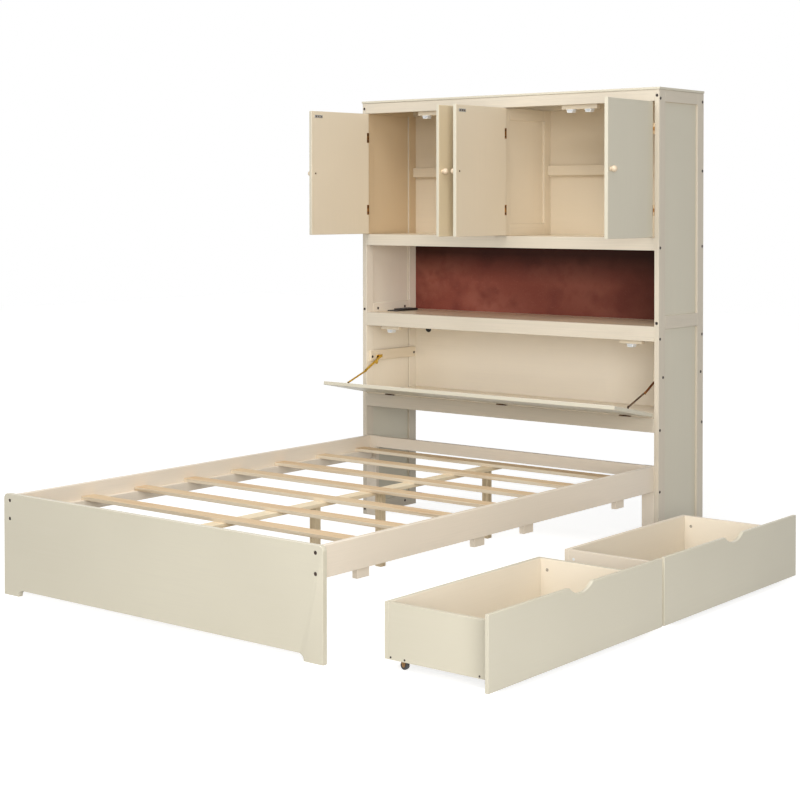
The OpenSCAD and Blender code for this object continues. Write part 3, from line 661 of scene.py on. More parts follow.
def fastener_tree(name, recess):
    """A screw or bolt head on every point, facing the way the point's own attribute says.
    The recess is a cross, a hexagon or none."""
    tree, given = start_tree(name, {
        "Geometry": ("Geometry", None),
        "Radius": ("Float", 0.004),
        "Height": ("Float", 0.002),
        "Recess Width": ("Float", 0.004),
        "Slot Width": ("Float", 0.001),
        "Recess Lift": ("Float", 0.002),
        "Finish": ("Material", None),
    })
    radius, height, wide = given["Radius"], given["Height"], given["Recess Width"]
    inputs = {0: radius, 1: HEAD_TAPER}
    top = add_node(tree, "ShaderNodeMath", inputs, operation="MULTIPLY").outputs[0]
    inputs = {"Vertices": HEAD_SIDES, "Radius Top": top, "Radius Bottom": radius, "Depth": height}
    head = add_node(tree, "GeometryNodeMeshCone", inputs).outputs["Mesh"]
    cutters = []
    if recess == "hexagon":
        inputs = {"Vertices": 6, "Radius": wide, "Depth": height}
        cutters.append(add_node(tree, "GeometryNodeMeshCylinder", inputs).outputs["Mesh"])
    if recess == "cross":
        slot = given["Slot Width"]
        for bar in ({"X": wide, "Y": slot, "Z": height}, {"X": slot, "Y": wide, "Z": height}):
            size = add_node(tree, "ShaderNodeCombineXYZ", bar).outputs[0]
            cutters.append(add_node(tree, "GeometryNodeMeshCube", {"Size": size}).outputs["Mesh"])
    lift = add_node(tree, "ShaderNodeCombineXYZ", {"Z": given["Recess Lift"]}).outputs[0]
    for cutter in cutters:
        inputs = {"Geometry": cutter, "Translation": lift}
        lifted = add_node(tree, "GeometryNodeTransform", inputs).outputs[0]
        inputs = {0: head, 1: lifted}
        head = add_node(tree, "GeometryNodeMeshBoolean", inputs, operation="DIFFERENCE").outputs[0]
    kind = "GeometryNodeInputNamedAttribute"
    facing = add_node(tree, kind, {"Name": "facing"}, data_type="FLOAT_VECTOR").outputs[0]
    kind = "FunctionNodeAlignRotationToVector"
    turned = add_node(tree, kind, {"Vector": facing}, axis="Z").outputs[0]
    # Heads are left at whatever turn the driver stopped
    inputs = {"Max": math.pi, "Seed": 3}
    spin = add_node(tree, "FunctionNodeRandomValue", inputs, data_type="FLOAT").outputs[1]
    inputs = {"Axis": (0, 0, 1), "Angle": spin}
    spun = add_node(tree, "FunctionNodeAxisAngleToRotation", inputs).outputs[0]
    inputs = {"Rotation": turned, "Rotate By": spun}
    rotated = add_node(tree, "FunctionNodeRotateRotation", inputs, rotation_space="LOCAL")
    inputs = {"Points": given["Geometry"], "Instance": head, "Rotation": rotated.outputs[0]}
    heads = add_node(tree, "GeometryNodeInstanceOnPoints", inputs).outputs[0]
    end_tree(tree, heads, given["Finish"])
    return tree


FASTENERS = {recess: fastener_tree(recess + "_heads", recess) for recess in RECESS_WIDTH}


def socket_id(tree, name):
    return next(item.identifier for item in tree.interface.items_tree if item.name == name)


def set_inputs(modifier, values):
    """Sets a Geometry Nodes modifier's inputs by their identifiers."""
    for name, value in values.items():
        modifier[socket_id(modifier.node_group, name)] = value


# Kinds of head: radius, height and how far it stands out of the surface, in millimetres, then its
# finish and its recess
Head = collections.namedtuple("Head", "radius height proud finish recess", defaults=("cross",))

BOLT_R = 6.0
BOLT_SINK = 0.5
NAIL_PROUD = 0.4
NAIL = Head(2.2, 1.2, NAIL_PROUD - 0.05, "zinc", "none")
CATCH_SCREW = Head(2.4, 1.2, 0.4, "zinc")
WRAP_SCREW = Head(3.4, 1.0, 0.25, "bolt")
LEAF_SCREW = Head(2.6, 0.8, 0.12, "bronze")
KNOB_SCREW = Head(4.2, 1.6, 0.5, "bronze")
STRIKE_SCREW = Head(3.2, 1.0, 0.25, "bronze")
STAY_SCREW = Head(3.0, 1.0, 0.4, "bolt")
FRAME_BOLT = Head(BOLT_R - 0.1, 2.8, 1.0, "bolt", "hexagon")
SUNK_BOLT = Head(BOLT_R - 0.1, 2.2, -BOLT_SINK, "bolt", "hexagon")
CASTER_SCREW = Head(2.0, 1.0, 0.3, "zinc")
SIDE_SCREW = Head(3.6, 1.4, 0.25, "bolt")
CAM_BOLT = Head(5.5, 1.5, 0.2, "bolt")
CAM_CAP = Head(5.5, 1.5, 0.5, "white", "none")


def add_fasteners(name, spots, head, body="root", pose=HERE, stands_for=()):
    """Screw, bolt or nail heads. spots holds (point on the surface, way it faces)."""
    mesh = bpy.data.meshes.new(name)
    sink = mm(head.height - head.proud)
    mesh.from_pydata([point - facing * sink for point, facing in spots], [], [])
    facings = mesh.attributes.new("facing", "FLOAT_VECTOR", "POINT")
    facings.data.foreach_set("vector", [value for _, facing in spots for value in facing])
    piece = put_in(name, mesh)
    heads = piece.modifiers.new("heads", "NODES")
    heads.node_group = FASTENERS[head.recess]
    set_inputs(heads, {
        "Radius": mm(head.radius),
        "Height": mm(head.height),
        "Recess Width": mm(head.radius * RECESS_WIDTH[head.recess]),
        "Slot Width": mm(head.radius * SLOT_WIDTH),
        "Recess Lift": mm(head.height * RECESS_LIFT),
        "Finish": FINISHES[head.finish],
    })
    settled(piece)
    piece.data.transform(pose)
    piece.data.name = name
    hand_over(piece, body, head.finish, stands_for)


# Boards, and the seats that the frame bolts sink into

# Each frame bolt's lowest and highest corner, and its axis
BOLTS = [(low, high, min(range(3), key=lambda a: high[a] - low[a]))
         for low, high in cad_boxes("frame_bolts")]
# A bolt shows where its head is this near a board's face
SEAT_NEAR = mm(2)
# A seat is cut this many millimetres past the face
SEAT_PAST = 2
# Gap at the joint of two painted boards
HAIRLINE = mm(0.15)
# Where bolt heads show, found while the boards that they pass through are made
bolt_spots = []


def shifted(point, axis, value):
    """A point with one of its coordinates changed."""
    other = point.copy()
    other[axis] = value
    return other


def inside(ends, axis, low=None, high=None):
    """A box with new ends along one axis."""
    first, last = ends
    return (first if low is None else shifted(first, axis, low),
            last if high is None else shifted(last, axis, high))


def seats_in(low, high):
    """Cutters for the bolt seats in a board, and where each bolt's head shows."""
    cutters, spots = [], []
    for bolt_low, bolt_high, axis in BOLTS:
        middle = (bolt_low + bolt_high) / 2
        if any(not low[a] <= middle[a] <= high[a] for a in range(3)):
            continue
        for sign, head, inner, face in ((1, bolt_high[axis], bolt_low[axis], high[axis]),
                                        (-1, bolt_low[axis], bolt_high[axis], low[axis])):
            if abs(face - head) > SEAT_NEAR:
                continue
            depth = abs(face - inner) * 1000 + SEAT_PAST
            place = along(axis, shifted(middle, axis, inner), sign)
            cutters.append(drill(BOLT_R, place, depth))
            spots.append((shifted(middle, axis, face), shifted(Vector(), axis, sign)))
    return cutters, spots


def add_boards(name, boards, finish, stands_for, soft=SOFT, linings=()):
    """A piece made of plain boards, with seats for the frame bolts that pass through them."""
    cutters = []
    for ends in boards:
        made, spots = seats_in(*ends)
        cutters += made
        bolt_spots.extend(spots)
    solids = rounded_boxes(boards, soft)
    add_piece(name, solids, finish, "root", stands_for, HERE, cutters, linings)


# Cabinet

# Width of a stile, and the part of a thin panel that is hidden in its groove
STILE_W, TONGUE = mm(48), mm(6)
# Rounding of thin panels and of doors and fronts
THIN_SOFT, DOOR_SOFT = mm(0.4), mm(1.6)
# A thin panel is in the side frame whose face is this near
PANEL_NEAR = mm(30)
# Height of the point that the linings look towards
LINING_Z = mm(1000)


def frame_boards(ends, openings):
    """The two stiles and the rails of a frame. openings holds the low and high ends of its
    panels' openings, from the bottom up. A hairline shows at each joint."""
    low, high = ends
    boards = [inside(ends, Y, high=low.y + STILE_W), inside(ends, Y, low=high.y - STILE_W)]
    rails = inside(ends, Y, low.y + STILE_W + HAIRLINE, high.y - STILE_W - HAIRLINE)
    bottoms = [low.z] + [end for _, end in openings]
    tops = [start for start, _ in openings] + [high.z]
    return boards + [inside(rails, Z, bottom, top) for bottom, top in zip(bottoms, tops)]


panels = cad_boxes("frame_panels")
cabinet_middle = shifted(sum(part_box("compartment_floor"), Vector()) / 2, Z, LINING_Z)
# Inside, painted light makes the shelf and the flap's compartment paler, and painted shade makes
# the door bays honey-coloured
lined_from, lined_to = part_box("compartment_floor")[0].z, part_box("shelf_board")[0].z
LININGS = [("pale", cabinet_middle, lined_from, lined_to),
           ("honey", cabinet_middle, lined_to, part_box("top_board")[0].z + mm(1))]
for side in ("left", "right"):
    node = side + "_side_frame"
    frame_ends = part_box(node)
    mine = [ends for ends in panels if abs(ends[0].x - frame_ends[0].x) < PANEL_NEAR]
    gaps = sorted((low.z + TONGUE, high.z - TONGUE) for low, high in mine)
    add_boards("painted_" + node, frame_boards(frame_ends, gaps), "paint", [node],
               linings=LININGS)
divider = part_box("divider_frame")
gap = (divider[0].z + STILE_W, divider[1].z - STILE_W)
add_boards("painted_divider_frame", frame_boards(divider, [gap]), "warm", ["divider_frame"])
divider_panel = [ends for ends in panels if divider[0].x < ends[0].x < divider[1].x]
side_panels = [ends for ends in panels if ends not in divider_panel]
add_boards("painted_divider_panel", divider_panel, "lining", [], THIN_SOFT)
add_boards("painted_side_panels", side_panels, "panel", ["frame_panels"], THIN_SOFT, LININGS)
for node, finish in (
    ("top_board", "panel"),
    ("front_rails", "paint"),
    ("back_rails", "warm"),
    ("shelf_board", "lining"),
    ("desk_board", "desk"),
    # The compartment's floor is paler: painted light
    ("compartment_floor", "pale"),
    ("fitting_blocks", "warm"),
    ("side_rail_left", "rail"),
    ("side_rail_right", "rail"),
    ("centre_beam", "beam"),
    ("centre_legs", "leg"),
):
    add_boards("finished_" + node, cad_boxes(node), finish, [node])


# Back panels, nailed on

# Distance between nails, and from a panel's edge to them
NAIL_PITCH, NAIL_IN = mm(150), mm(9)
CABLE_HOLE_R = 11.9
outlet_parts = cad_boxes("outlet_and_grommet")
grommet_low, grommet_high = max(outlet_parts, key=lambda ends: ends[1].y)
cable_hole = (grommet_low + grommet_high) / 2


def nail_spots(low, high):
    """Places along a back panel's edges, an even pitch apart."""
    spots = []
    for a, b in ((X, Z), (Z, X)):
        start, end = low[a] + NAIL_IN, high[a] - NAIL_IN
        steps = max(1, round((end - start) / NAIL_PITCH))
        for k in range(steps + (a == X)):
            for edge in (low[b] + NAIL_IN, high[b] - NAIL_IN):
                spot = start + (end - start) * (k + 0.5 * (a == Z)) / steps
                spots.append((shifted(shifted(high, a, spot), b, edge), BACKWARDS))
    return spots


nails = []
for node, finish in (
    ("upper_back_panels", "lining"),
    ("shelf_back_board", "red"),
    # The lower back panel behind the compartment is paler: painted light
    ("lower_back_panel", "pale"),
):
    # Drawn thinner by the height of the nail heads
    boards = [inside(ends, Y, high=ends[1].y - mm(NAIL_PROUD)) for ends in cad_boxes(node)]
    cutters = []
    if node == "lower_back_panel":
        place = along(Y, shifted(cable_hole, Y, boards[0][0].y - mm(2)))
        cutters = [drill(CABLE_HOLE_R, place, 10, segments=40)]
    solids = rounded_boxes(boards, THIN_SOFT)
    add_piece("finished_" + node, solids, finish, stands_for=[node], cutters=cutters)
    for ends in boards:
        nails += nail_spots(*ends)
add_fasteners("nails_in_the_back", nails, NAIL)


# Magnetic catches, the power point and the cable hole's ring

CATCH_HALF, CATCH_TAPER = mm(13.5), mm(2)
# A catch's ears: thickness, distance from its face and from its back, and their screws' from an end
EAR_T, EAR_FRONT, EAR_BACK, EAR_SCREW_IN = mm(2.6), mm(6), mm(3), mm(3.6)
# Corners of a catch's slot and of a magnet plate, from the middle of its face, and each plate's
# distance from that middle
SLOT_ENDS = mm(-10, -1, -3.4), mm(10, 1.6, 3.4)
PLATE_ENDS, PLATE_UP = (mm(-9.5, -0.6, -0.6), mm(9.5, 3, 0.6)), mm(0, 0, 2.2)
# The power point's apron, as shares of its depth and height
APRON_DEPTH, APRON_HEIGHT = 0.3, 0.45
# Its sockets behind the apron, how far they are sunk, and the holes in them, in millimetres
SOCKET_YS, SOCKET_SINK, SOCKET_HOLE_X, SOCKET_HOLE_R = (30, 74), 2.6, 7, 2.3


def catch_solids(low, high):
    """A catch's body, and the two ears that hold it."""
    middle = (low.x + high.x) / 2
    narrow = CATCH_HALF - CATCH_TAPER
    outline = [(high.z, middle - CATCH_HALF), (low.z, middle - narrow),
               (low.z, middle + narrow), (high.z, middle + CATCH_HALF)]
    ears = (Vector((low.x, low.y + EAR_FRONT, high.z - EAR_T)),
            Vector((high.x, high.y - EAR_BACK, high.z)))
    return [soften(prism(outline, low.y, high.y, Y), mm(0.8)), rounded_box(*ears, mm(0.7))]


bodies, slots, plates, ear_screws = [], [], [], []
for low, high in cad_boxes("magnet_catches"):
    bodies += catch_solids(low, high)
    middle = (low + high) / 2
    # The magnet's two steel plates stand just proud of their slot
    face = shifted(middle, Y, low.y)
    slots.append(box(*(face + corner for corner in SLOT_ENDS)))
    for at in (face - PLATE_UP, face + PLATE_UP):
        plates.append(rounded_box(*(at + corner for corner in PLATE_ENDS), mm(0.15), 1))
    for x in (low.x + EAR_SCREW_IN, high.x - EAR_SCREW_IN):
        ear_screws.append((Vector((x, middle.y + mm(1), high.z - EAR_T)), DOWNWARDS))
add_piece("moulded_magnet_catches", bodies, "white", stands_for=["magnet_catches"], cutters=slots)
add_piece("magnet_plates", plates, "zinc")
add_fasteners("catch_screws", ear_screws, CATCH_SCREW)


def add_power_point():
    """The low black power point on the desk board, with two sockets sunk in its top."""
    desk_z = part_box("desk_board")[0].z
    parts = [ends for ends in outlet_parts if ends[0].z > desk_z]
    low = Vector([min(ends[0][a] for ends in parts) for a in range(3)])
    high = Vector([max(ends[1][a] for ends in parts) for a in range(3)])
    step = low.y + (high.y - low.y) * APRON_DEPTH
    apron_top = Vector((high.x, step + mm(4), low.z + (high.z - low.z) * APRON_HEIGHT))
    cutters, pins = [], []
    for y in SOCKET_YS:
        socket = Vector(((low.x + high.x) / 2, step + mm(y), high.z - mm(SOCKET_SINK)))
        cutters.append(lathe([(18, 0), (19, 4)], along(Z, socket), 32))
        for x in (-SOCKET_HOLE_X, SOCKET_HOLE_X):
            place = along(Z, socket + mm(x, 0, -4))
            pins.append(drill(SOCKET_HOLE_R, place, 10, segments=12))
    solids = [rounded_box(low, apron_top, mm(1.5), 3),
              rounded_box(shifted(low, Y, step), high, mm(2.2), 3)]
    piece = add_piece("power_point", solids, "black", stands_for=["outlet_and_grommet"],
                      cutters=cutters)
    cut_away(piece, pins)


def add_grommet():
    """The cable hole's ring and cap, with the slot that a cable would pass."""
    middle = shifted(cable_hole, Y, grommet_low.y)
    depth = (grommet_high.y - grommet_low.y) * 1000
    place = along(Y, middle)
    tube = CABLE_HOLE_R - 0.2
    rim = [(10, 0.3), (11, 0), (14.3, 0), (15, 0.7), (15, 2), (tube, 2), (tube, depth), (10, depth)]
    cap = [(0, 0.9), (9.5, 0.9), (9.8, 1.2), (9.8, depth - 0.6), (0, depth - 0.6)]
    slot = box(middle + mm(-3, -4, 2), middle + mm(3, 12, 12))
    solids = [lathe(rim, place, 40, True), lathe(cap, place, 40)]
    add_piece("cable_grommet", solids, "black", cutters=[slot])


add_power_point()
add_grommet()


# Hinges

# A leaf's thickness, its width, and its width on a door's inner face
LEAF_T, LEAF_W, WRAP_W = mm(0.8), mm(12), mm(12)
DOOR_T = mm(15)
# Lengths of the doors' and the flap's leaves
DOOR_LEAF, FLAP_LEAF = mm(42), mm(49)
# Between the two faces that a hinge joins, and from its pin to the front of them
GAP, PIVOT_OUT = mm(2), mm(3)
# The knuckles, their bevelled ends and the pin, in millimetres
KNUCKLE_R, KNUCKLE_RIM, KNUCKLE_GAP = 2.6, 0.3, 0.4
BORE_R, PIN_R, PIN_TIP_R = 1.55, 1.5, 1.2
# A leaf's screws: from its bend or its pin's edge, and along it as a share of its half length
WRAP_SCREW_IN, LEAF_SCREW_IN, SCREW_SHARE = mm(6.5), mm(7), 0.6


def mirrored(half, total=0):
    """A turned profile from its first half. total is the sum of the distances of both ends."""
    return half + [(radius, total - distance) for radius, distance in reversed(half)]


def hinge_leaf(length, moving, wrapped=False):
    """Half of a butt hinge, its pin along Z at the origin, its leaf running back along Y. A wrapped
    leaf goes on round the door's edge and onto its inner face. The half that stays put carries the
    pin. Also gives its screws' places."""
    side = 1 if moving else -1
    inner, outer = side * (GAP / 2 - LEAF_T), side * GAP / 2
    half = length / 2
    mid = length / 3 - mm(KNUCKLE_GAP)
    end = (length - length / 3 - mm(KNUCKLE_GAP)) / 2
    spans = [(-mid / 2, mid / 2)] if moving else [(-half, -half + end), (half - end, half)]
    back = PIVOT_OUT + (DOOR_T if wrapped else LEAF_W)
    outline = [(inner, PIVOT_OUT), (outer, PIVOT_OUT), (outer, back)]
    if wrapped:
        outline += [(outer + WRAP_W, back), (outer + WRAP_W, back + LEAF_T)]
        back += LEAF_T
    outline.append((inner, back))
    solids = [soften(prism(outline, -half, half, Z), mm(0.2), 1)]
    left, right = sorted((inner, outer))
    for start, stop in spans:
        low, high = start * 1000, stop * 1000
        barrel = [(BORE_R, low), (KNUCKLE_R - KNUCKLE_RIM, low), (KNUCKLE_R, low + KNUCKLE_RIM)]
        solids.append(lathe(mirrored(barrel, low + high), HERE, 20, True))
        web = (left, mm(2), start + mm(0.1)), (right, PIVOT_OUT + mm(1), stop - mm(0.1))
        solids.append(box(*web))
    if not moving:
        tip = half * 1000
        pin = [(0, -tip - 0.4), (PIN_TIP_R, -tip - 0.4), (PIN_R, -tip)]
        solids.append(lathe(mirrored(pin), HERE, 16))
    if wrapped:
        screw, facing = (outer + WRAP_SCREW_IN, back), BACKWARDS
    else:
        screw, facing = (inner, PIVOT_OUT + LEAF_SCREW_IN), Vector((-side, 0, 0))
    screws = [(Vector((*screw, z)), facing) for z in (-half * SCREW_SHARE, half * SCREW_SHARE)]
    return solids, screws


def draw_hinge(length, place, wrapped, fixed, moving):
    """Draws a hinge at a place, which may be mirrored. Both halves are kept as solids and screws:
    fixed the one that stays put, moving the one that swings."""
    turn = place.to_3x3()
    for swings, (solids, screws) in ((False, fixed), (True, moving)):
        made, spots = hinge_leaf(length, swings, wrapped and swings)
        for solid in made:
            solid.transform(place)
            if place.determinant() < 0:
                bmesh.ops.reverse_faces(solid, faces=solid.faces)
        solids += made
        screws += [(place @ point, turn @ facing) for point, facing in spots]


MIRROR_X = Matrix.Diagonal((-1, 1, 1, 1))
DOORS = {"left_outer": 1, "left_inner": -1, "right_inner": 1, "right_outer": -1}


def leaf_boxes(node, joint_name):
    """The hinge leaves of a swinging part, drawn shut, without its other fittings."""
    pin = Vector(joints[joint_name]["pos_m"])
    shut = cad_boxes(node, opened(joint_name).inverted())
    return [ends for ends in shut if ends[0].y < pin.y + mm(5)]


fixed = ([], [])
for door, hand in DOORS.items():
    joint, node, body = door + "_door_hinge", door + "_fittings", door + "_leaf"
    pin = Vector(joints[joint]["pos_m"])
    moving = ([], [])
    for low, high in leaf_boxes(node, joint):
        place = Matrix.Translation(shifted(pin, Z, (low.z + high.z) / 2))
        draw_hinge(DOOR_LEAF, place if hand > 0 else place @ MIRROR_X, True, fixed, moving)
    shut = opened(joint)
    # The door leaves take the brass darkened as painted shade
    add_piece(door + "_hinge_leaves", moving[0], "brass_painted_shade", body, [node], shut)
    add_fasteners(door + "_hinge_screws", moving[1], WRAP_SCREW, body, shut)
# The cabinet's leaves take the pale brass of a painted reflection
add_piece("cabinet_door_hinge_leaves", fixed[0], "pale_brass", stands_for=["cabinet_hinges"])
add_fasteners("cabinet_door_hinge_screws", fixed[1], LEAF_SCREW)

flap_shut = opened("flap_hinge")
flap_pin = Vector(joints["flap_hinge"]["pos_m"])
lying = Matrix.Rotation(-math.pi / 2, 4, "Y")
fixed, moving = ([], []), ([], [])
for low, high in leaf_boxes("flap_fittings", "flap_hinge"):
    place = Matrix.Translation(shifted(flap_pin, X, (low.x + high.x) / 2)) @ lying
    draw_hinge(FLAP_LEAF, place, False, fixed, moving)
add_piece("flap_hinge_leaves", moving[0], "bronze", "flap_leaf", ["flap_fittings"], flap_shut)
add_fasteners("flap_hinge_screws", moving[1], LEAF_SCREW, "flap_leaf", flap_shut)
add_piece("cabinet_flap_hinge_leaves", fixed[0], "bronze")
add_fasteners("cabinet_flap_hinge_screws", fixed[1], LEAF_SCREW)


# Doors and flap

# From a strike plate's middle to its outer screws
STRIKE_SCREW_X = mm(14)
# Rounding of stamped metal
METAL_SOFT = mm(0.25)


def knob_solid(middle, face_y):
    """A turned mushroom knob: a collar, a waist and a round head."""
    profile = [
        (0, 0), (8.4, 0), (8.9, 0.8), (8.9, 2.2), (8.2, 3.2), (7.3, 4.2), (7.2, 5.2), (8.1, 6.2),
        (10, 7.4), (11.4, 9.2), (12.3, 11.4), (12.5, 13.5), (12.2, 16), (11.2, 18.8), (9.4, 21.6),
        (6.8, 24), (3.8, 25.4), (0, 26),
    ]
    return lathe(profile, along(Y, shifted(middle, Y, face_y), -1), 32)


def add_strikes(part, plural, node, face_y, body, shut):
    """The thin strike plates on a part's inner face, with three screws in each."""
    strikes = [ends for ends in cad_boxes(node, shut.inverted())
               if ends[0].y > face_y - mm(1) and ends[1].y < face_y + mm(1)]
    plates = rounded_boxes(strikes, METAL_SOFT, 1)
    add_piece(part + "_strike" + plural, plates, "zinc", body, pose=shut)
    holes = []
    for low, high in strikes:
        for x in (-STRIKE_SCREW_X, 0, STRIKE_SCREW_X):
            point = Vector(((low.x + high.x) / 2 + x, high.y, (low.z + high.z) / 2))
            holes.append((point, BACKWARDS))
    add_fasteners(part + "_strike_screws", holes, STRIKE_SCREW, body, shut)


for door in DOORS:
    shut, body = opened(door + "_door_hinge"), door + "_leaf"
    (low, high), = cad_boxes(door + "_door", shut.inverted())
    knob, = cad_boxes(door + "_knob", shut.inverted())
    knob_at = sum(knob, Vector()) / 2
    middle = (low + high) / 2
    linings = [("lining", middle + BACKWARDS)]
    # The left inner door's outer face gets a painted warm reflection of the red-brown board
    if door == "left_inner":
        linings.append(("golden", middle + FORWARDS))
    add_piece(f"painted_{door}_door", [rounded_box(low, high, DOOR_SOFT, 3)], "panel", body,
              [door + "_door"], shut, linings=linings)
    add_piece(f"turned_{door}_knob", [knob_solid(knob_at, low.y)], "beech", body,
              [door + "_knob"], shut)
    back = [(shifted(knob_at, Y, high.y), BACKWARDS)]
    add_fasteners(door + "_knob_screw", back, KNOB_SCREW, body, shut)
    add_strikes(door, "", door + "_fittings", high.y, body, shut)

(low, high), = cad_boxes("flap", flap_shut.inverted())
linings = [("white_lining", (low + high) / 2 + BACKWARDS)]
add_piece("painted_flap", [rounded_box(low, high, DOOR_SOFT, 3)], "panel", "flap_leaf", ["flap"],
          flap_shut, linings=linings)
flap_face = high.y
add_strikes("flap", "s", "flap_fittings", flap_face, "flap_leaf", flap_shut)


# Stays

# Lengths of a stay's arms between their pins
UPPER_ARM, LOWER_ARM = mm(119), mm(126)
# All below in millimetres. Half widths of the arms, and the lobe under the upper one: its place
# along the arm, its drop and its radius
UPPER_HALF, LOWER_HALF = 5.5, 4.0
LOBE = (36, 6, 10)
PLATE_T = 1.5
STAY_PIN_R, BRACKET_PIN_R = 2.0, 1.95
BOSS_R, BOSS_RIM = 4, 0.3
# Distances outwards from the upper arm's inner face
UPPER_ARM_X, LOWER_ARM_X, RIVET_X = (0, 1.5), (-2.0, -0.5), (-2.0, 1.5)
BOSS_X, BRACKET_X, BRACKET_PIN_X = (2.0, 7.0), (7.0, 8.5), (-0.2, 2.2)
EAR_X, FOOT_X, EAR_PIN_X = (-4.0, -2.5), (-18.0, -2.5), (-4.0, -0.4)
# From the stay's pins to the screws of its bracket and its ear
BRACKET_SCREW_Y, EAR_SCREW_X, EAR_SCREW_Z = 13, 11, 5.5
# Half sizes of the bracket's plate and of the ear's foot, and the ear's radius at its pin and half
# width at its foot
BRACKET_HALF_Y, BRACKET_HALF_Z, FOOT_HALF_Z, EAR_R, EAR_ROOT = 20, 6, 10, 5, 6


def elbow(head, foot):
    """Where the two arms of a stay meet, in the Y and Z plane, on the side that folds forwards."""
    reach = foot - head
    span = math.hypot(reach.y, reach.z)
    bend = math.acos((UPPER_ARM**2 + span**2 - LOWER_ARM**2) / (2 * UPPER_ARM * span))
    turn = math.atan2(reach.z, reach.y) + bend
    return head + Vector((0, UPPER_ARM * math.cos(turn), UPPER_ARM * math.sin(turn)))


def arm_outline(length, half, lobe=None):
    """A flat arm with a round eye at each end, along the first axis in millimetres. The lobe bulges
    from its second side."""
    eye = half + 1
    neck = math.degrees(math.asin(half / eye))
    outline = arc((0, 0), eye, neck, 360 - neck, 16)
    outline += arc((length, 0), eye, neck - 180, 180 - neck, 16)
    if lobe:
        middle, drop, radius = lobe
        rise = math.degrees(math.asin((half - drop) / radius))
        outline += arc((middle, drop), radius, rise, 180 - rise, 16)
    return [(mm(a), mm(b)) for a, b in outline]


def across(stay, near_far):
    """Ends along X of a solid that runs outwards from a stay, from distances in millimetres."""
    face, way = stay
    return sorted(face + way * mm(distance) for distance in near_far)


def rivet(point, ends, radius, head):
    """A rivet or pin along X between two ends, with a low dome on each."""
    low, high = (end * 1000 for end in ends)
    half = [(0, low - head), (radius, low - head * 0.6), (radius + 0.9, low), (radius, low)]
    return lathe(mirrored(half, low + high), along(X, shifted(point, X, 0)), 20)


def add_arm(stay, side, part, start, end, finish):
    """One arm of a stay, from the pin that holds it to the elbow."""
    upper = part == "upper"
    reach = end - start
    length = math.hypot(reach.y, reach.z) * 1000
    outline = arm_outline(length, *((UPPER_HALF, LOBE) if upper else (LOWER_HALF,)))
    low, high = across(stay, UPPER_ARM_X if upper else LOWER_ARM_X)
    solid = soften(prism(outline, low, high, X), METAL_SOFT, 1)
    turn = Matrix.Rotation(math.atan2(reach.z, reach.y), 4, "X")
    solid.transform(Matrix.Translation(shifted(start, X, 0)) @ turn)
    pins = (start,) if upper else (start, end)
    places = [along(X, shifted(pin, X, stay[0])) for pin in pins]
    holes = [drill(STAY_PIN_R + 0.1, place, 6, -6, 16) for place in places]
    node = f"{side}_{part}_arm"
    add_piece("stamped_" + node, [solid], finish, node + "_link", [node], cutters=holes)


def bracket(stay, head):
    """The bracket on the cleat, a plate with a boss and the upper pin, and its screws' places."""
    low, high = across(stay, BRACKET_X)
    half = mm(0, BRACKET_HALF_Y, BRACKET_HALF_Z)
    ends = shifted(head - half, X, low), shifted(head + half, X, high)
    plate = rounded_box(*ends, mm(0.5))
    low, high = (end * 1000 for end in across(stay, BOSS_X))
    boss = [(0, low), (BOSS_R - BOSS_RIM, low), (BOSS_R, low + BOSS_RIM),
            (BOSS_R, high - BOSS_RIM), (BOSS_R, high), (0, high)]
    pin = rivet(head, across(stay, BRACKET_PIN_X), BRACKET_PIN_R, 0.7)
    face, way = stay
    at = shifted(head, X, face + way * mm(BRACKET_X[0]))
    inwards = Vector((-way, 0, 0))
    screws = [(at + mm(0, y, 0), inwards) for y in (-BRACKET_SCREW_Y, BRACKET_SCREW_Y)]
    return [plate, lathe(boss, along(X, shifted(head, X, 0)), 24), pin], screws


def flap_ear(stay, pin):
    """The ear on the shut flap, a foot plate with a rounded ear and the lower pin, and its screws'
    places."""
    radius, root, half = mm(EAR_R), mm(EAR_ROOT), mm(FOOT_HALF_Z)
    outline = [(flap_face, pin.z - root), (pin.y, pin.z - radius)]
    outline += arc((pin.y, pin.z), radius, -75, 75, 10)
    outline += [(pin.y, pin.z + radius), (flap_face, pin.z + root)]
    ear = soften(prism(outline, *across(stay, EAR_X), X), METAL_SOFT, 1)
    low, high = across(stay, FOOT_X)
    plate_face = flap_face + mm(PLATE_T)
    plate = rounded_box((low, flap_face, pin.z - half), (high, plate_face, pin.z + half), mm(0.4))
    face, way = stay
    at = Vector((face - way * mm(EAR_SCREW_X), plate_face, pin.z))
    screws = [(at + mm(0, 0, z), BACKWARDS) for z in (-EAR_SCREW_Z, EAR_SCREW_Z)]
    return [ear, plate, rivet(pin, across(stay, EAR_PIN_X), BRACKET_PIN_R, 0.7)], screws


bracket_screws, ear_solids, ear_screws = [], [], []
for side, way, upper_finish, lower_finish in (("left", -1, "brass", "brass"),
                                              ("right", 1, "copper", "bronze")):
    head, foot = (Vector(joints[f"{side}_stay_{end}_pin"]["pos_m"]) for end in ("upper", "lower"))
    bend = elbow(head, foot)
    stay = (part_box(side + "_upper_arm")[0 if way > 0 else 1].x, way)
    add_arm(stay, side, "upper", head, bend, upper_finish)
    add_arm(stay, side, "lower", foot, bend, lower_finish)
    # The rivet takes the same brass, darkened as painted shade
    add_piece(side + "_stay_rivet", [rivet(bend, across(stay, RIVET_X), STAY_PIN_R, 1.3)],
              "brass_painted_shade", side + "_upper_arm_link")
    solids, screws = bracket(stay, head)
    add_piece(side + "_stay_bracket", solids, lower_finish)
    bracket_screws += screws
    solids, screws = flap_ear(stay, flap_shut.inverted() @ foot)
    ear_solids += solids
    ear_screws += screws
add_fasteners("stay_bracket_screws", bracket_screws, STAY_SCREW)
add_piece("flap_ears", ear_solids, "bronze", "flap_leaf", pose=flap_shut)
add_fasteners("flap_ear_screws", ear_screws, STAY_SCREW, "flap_leaf", flap_shut)


# Bed

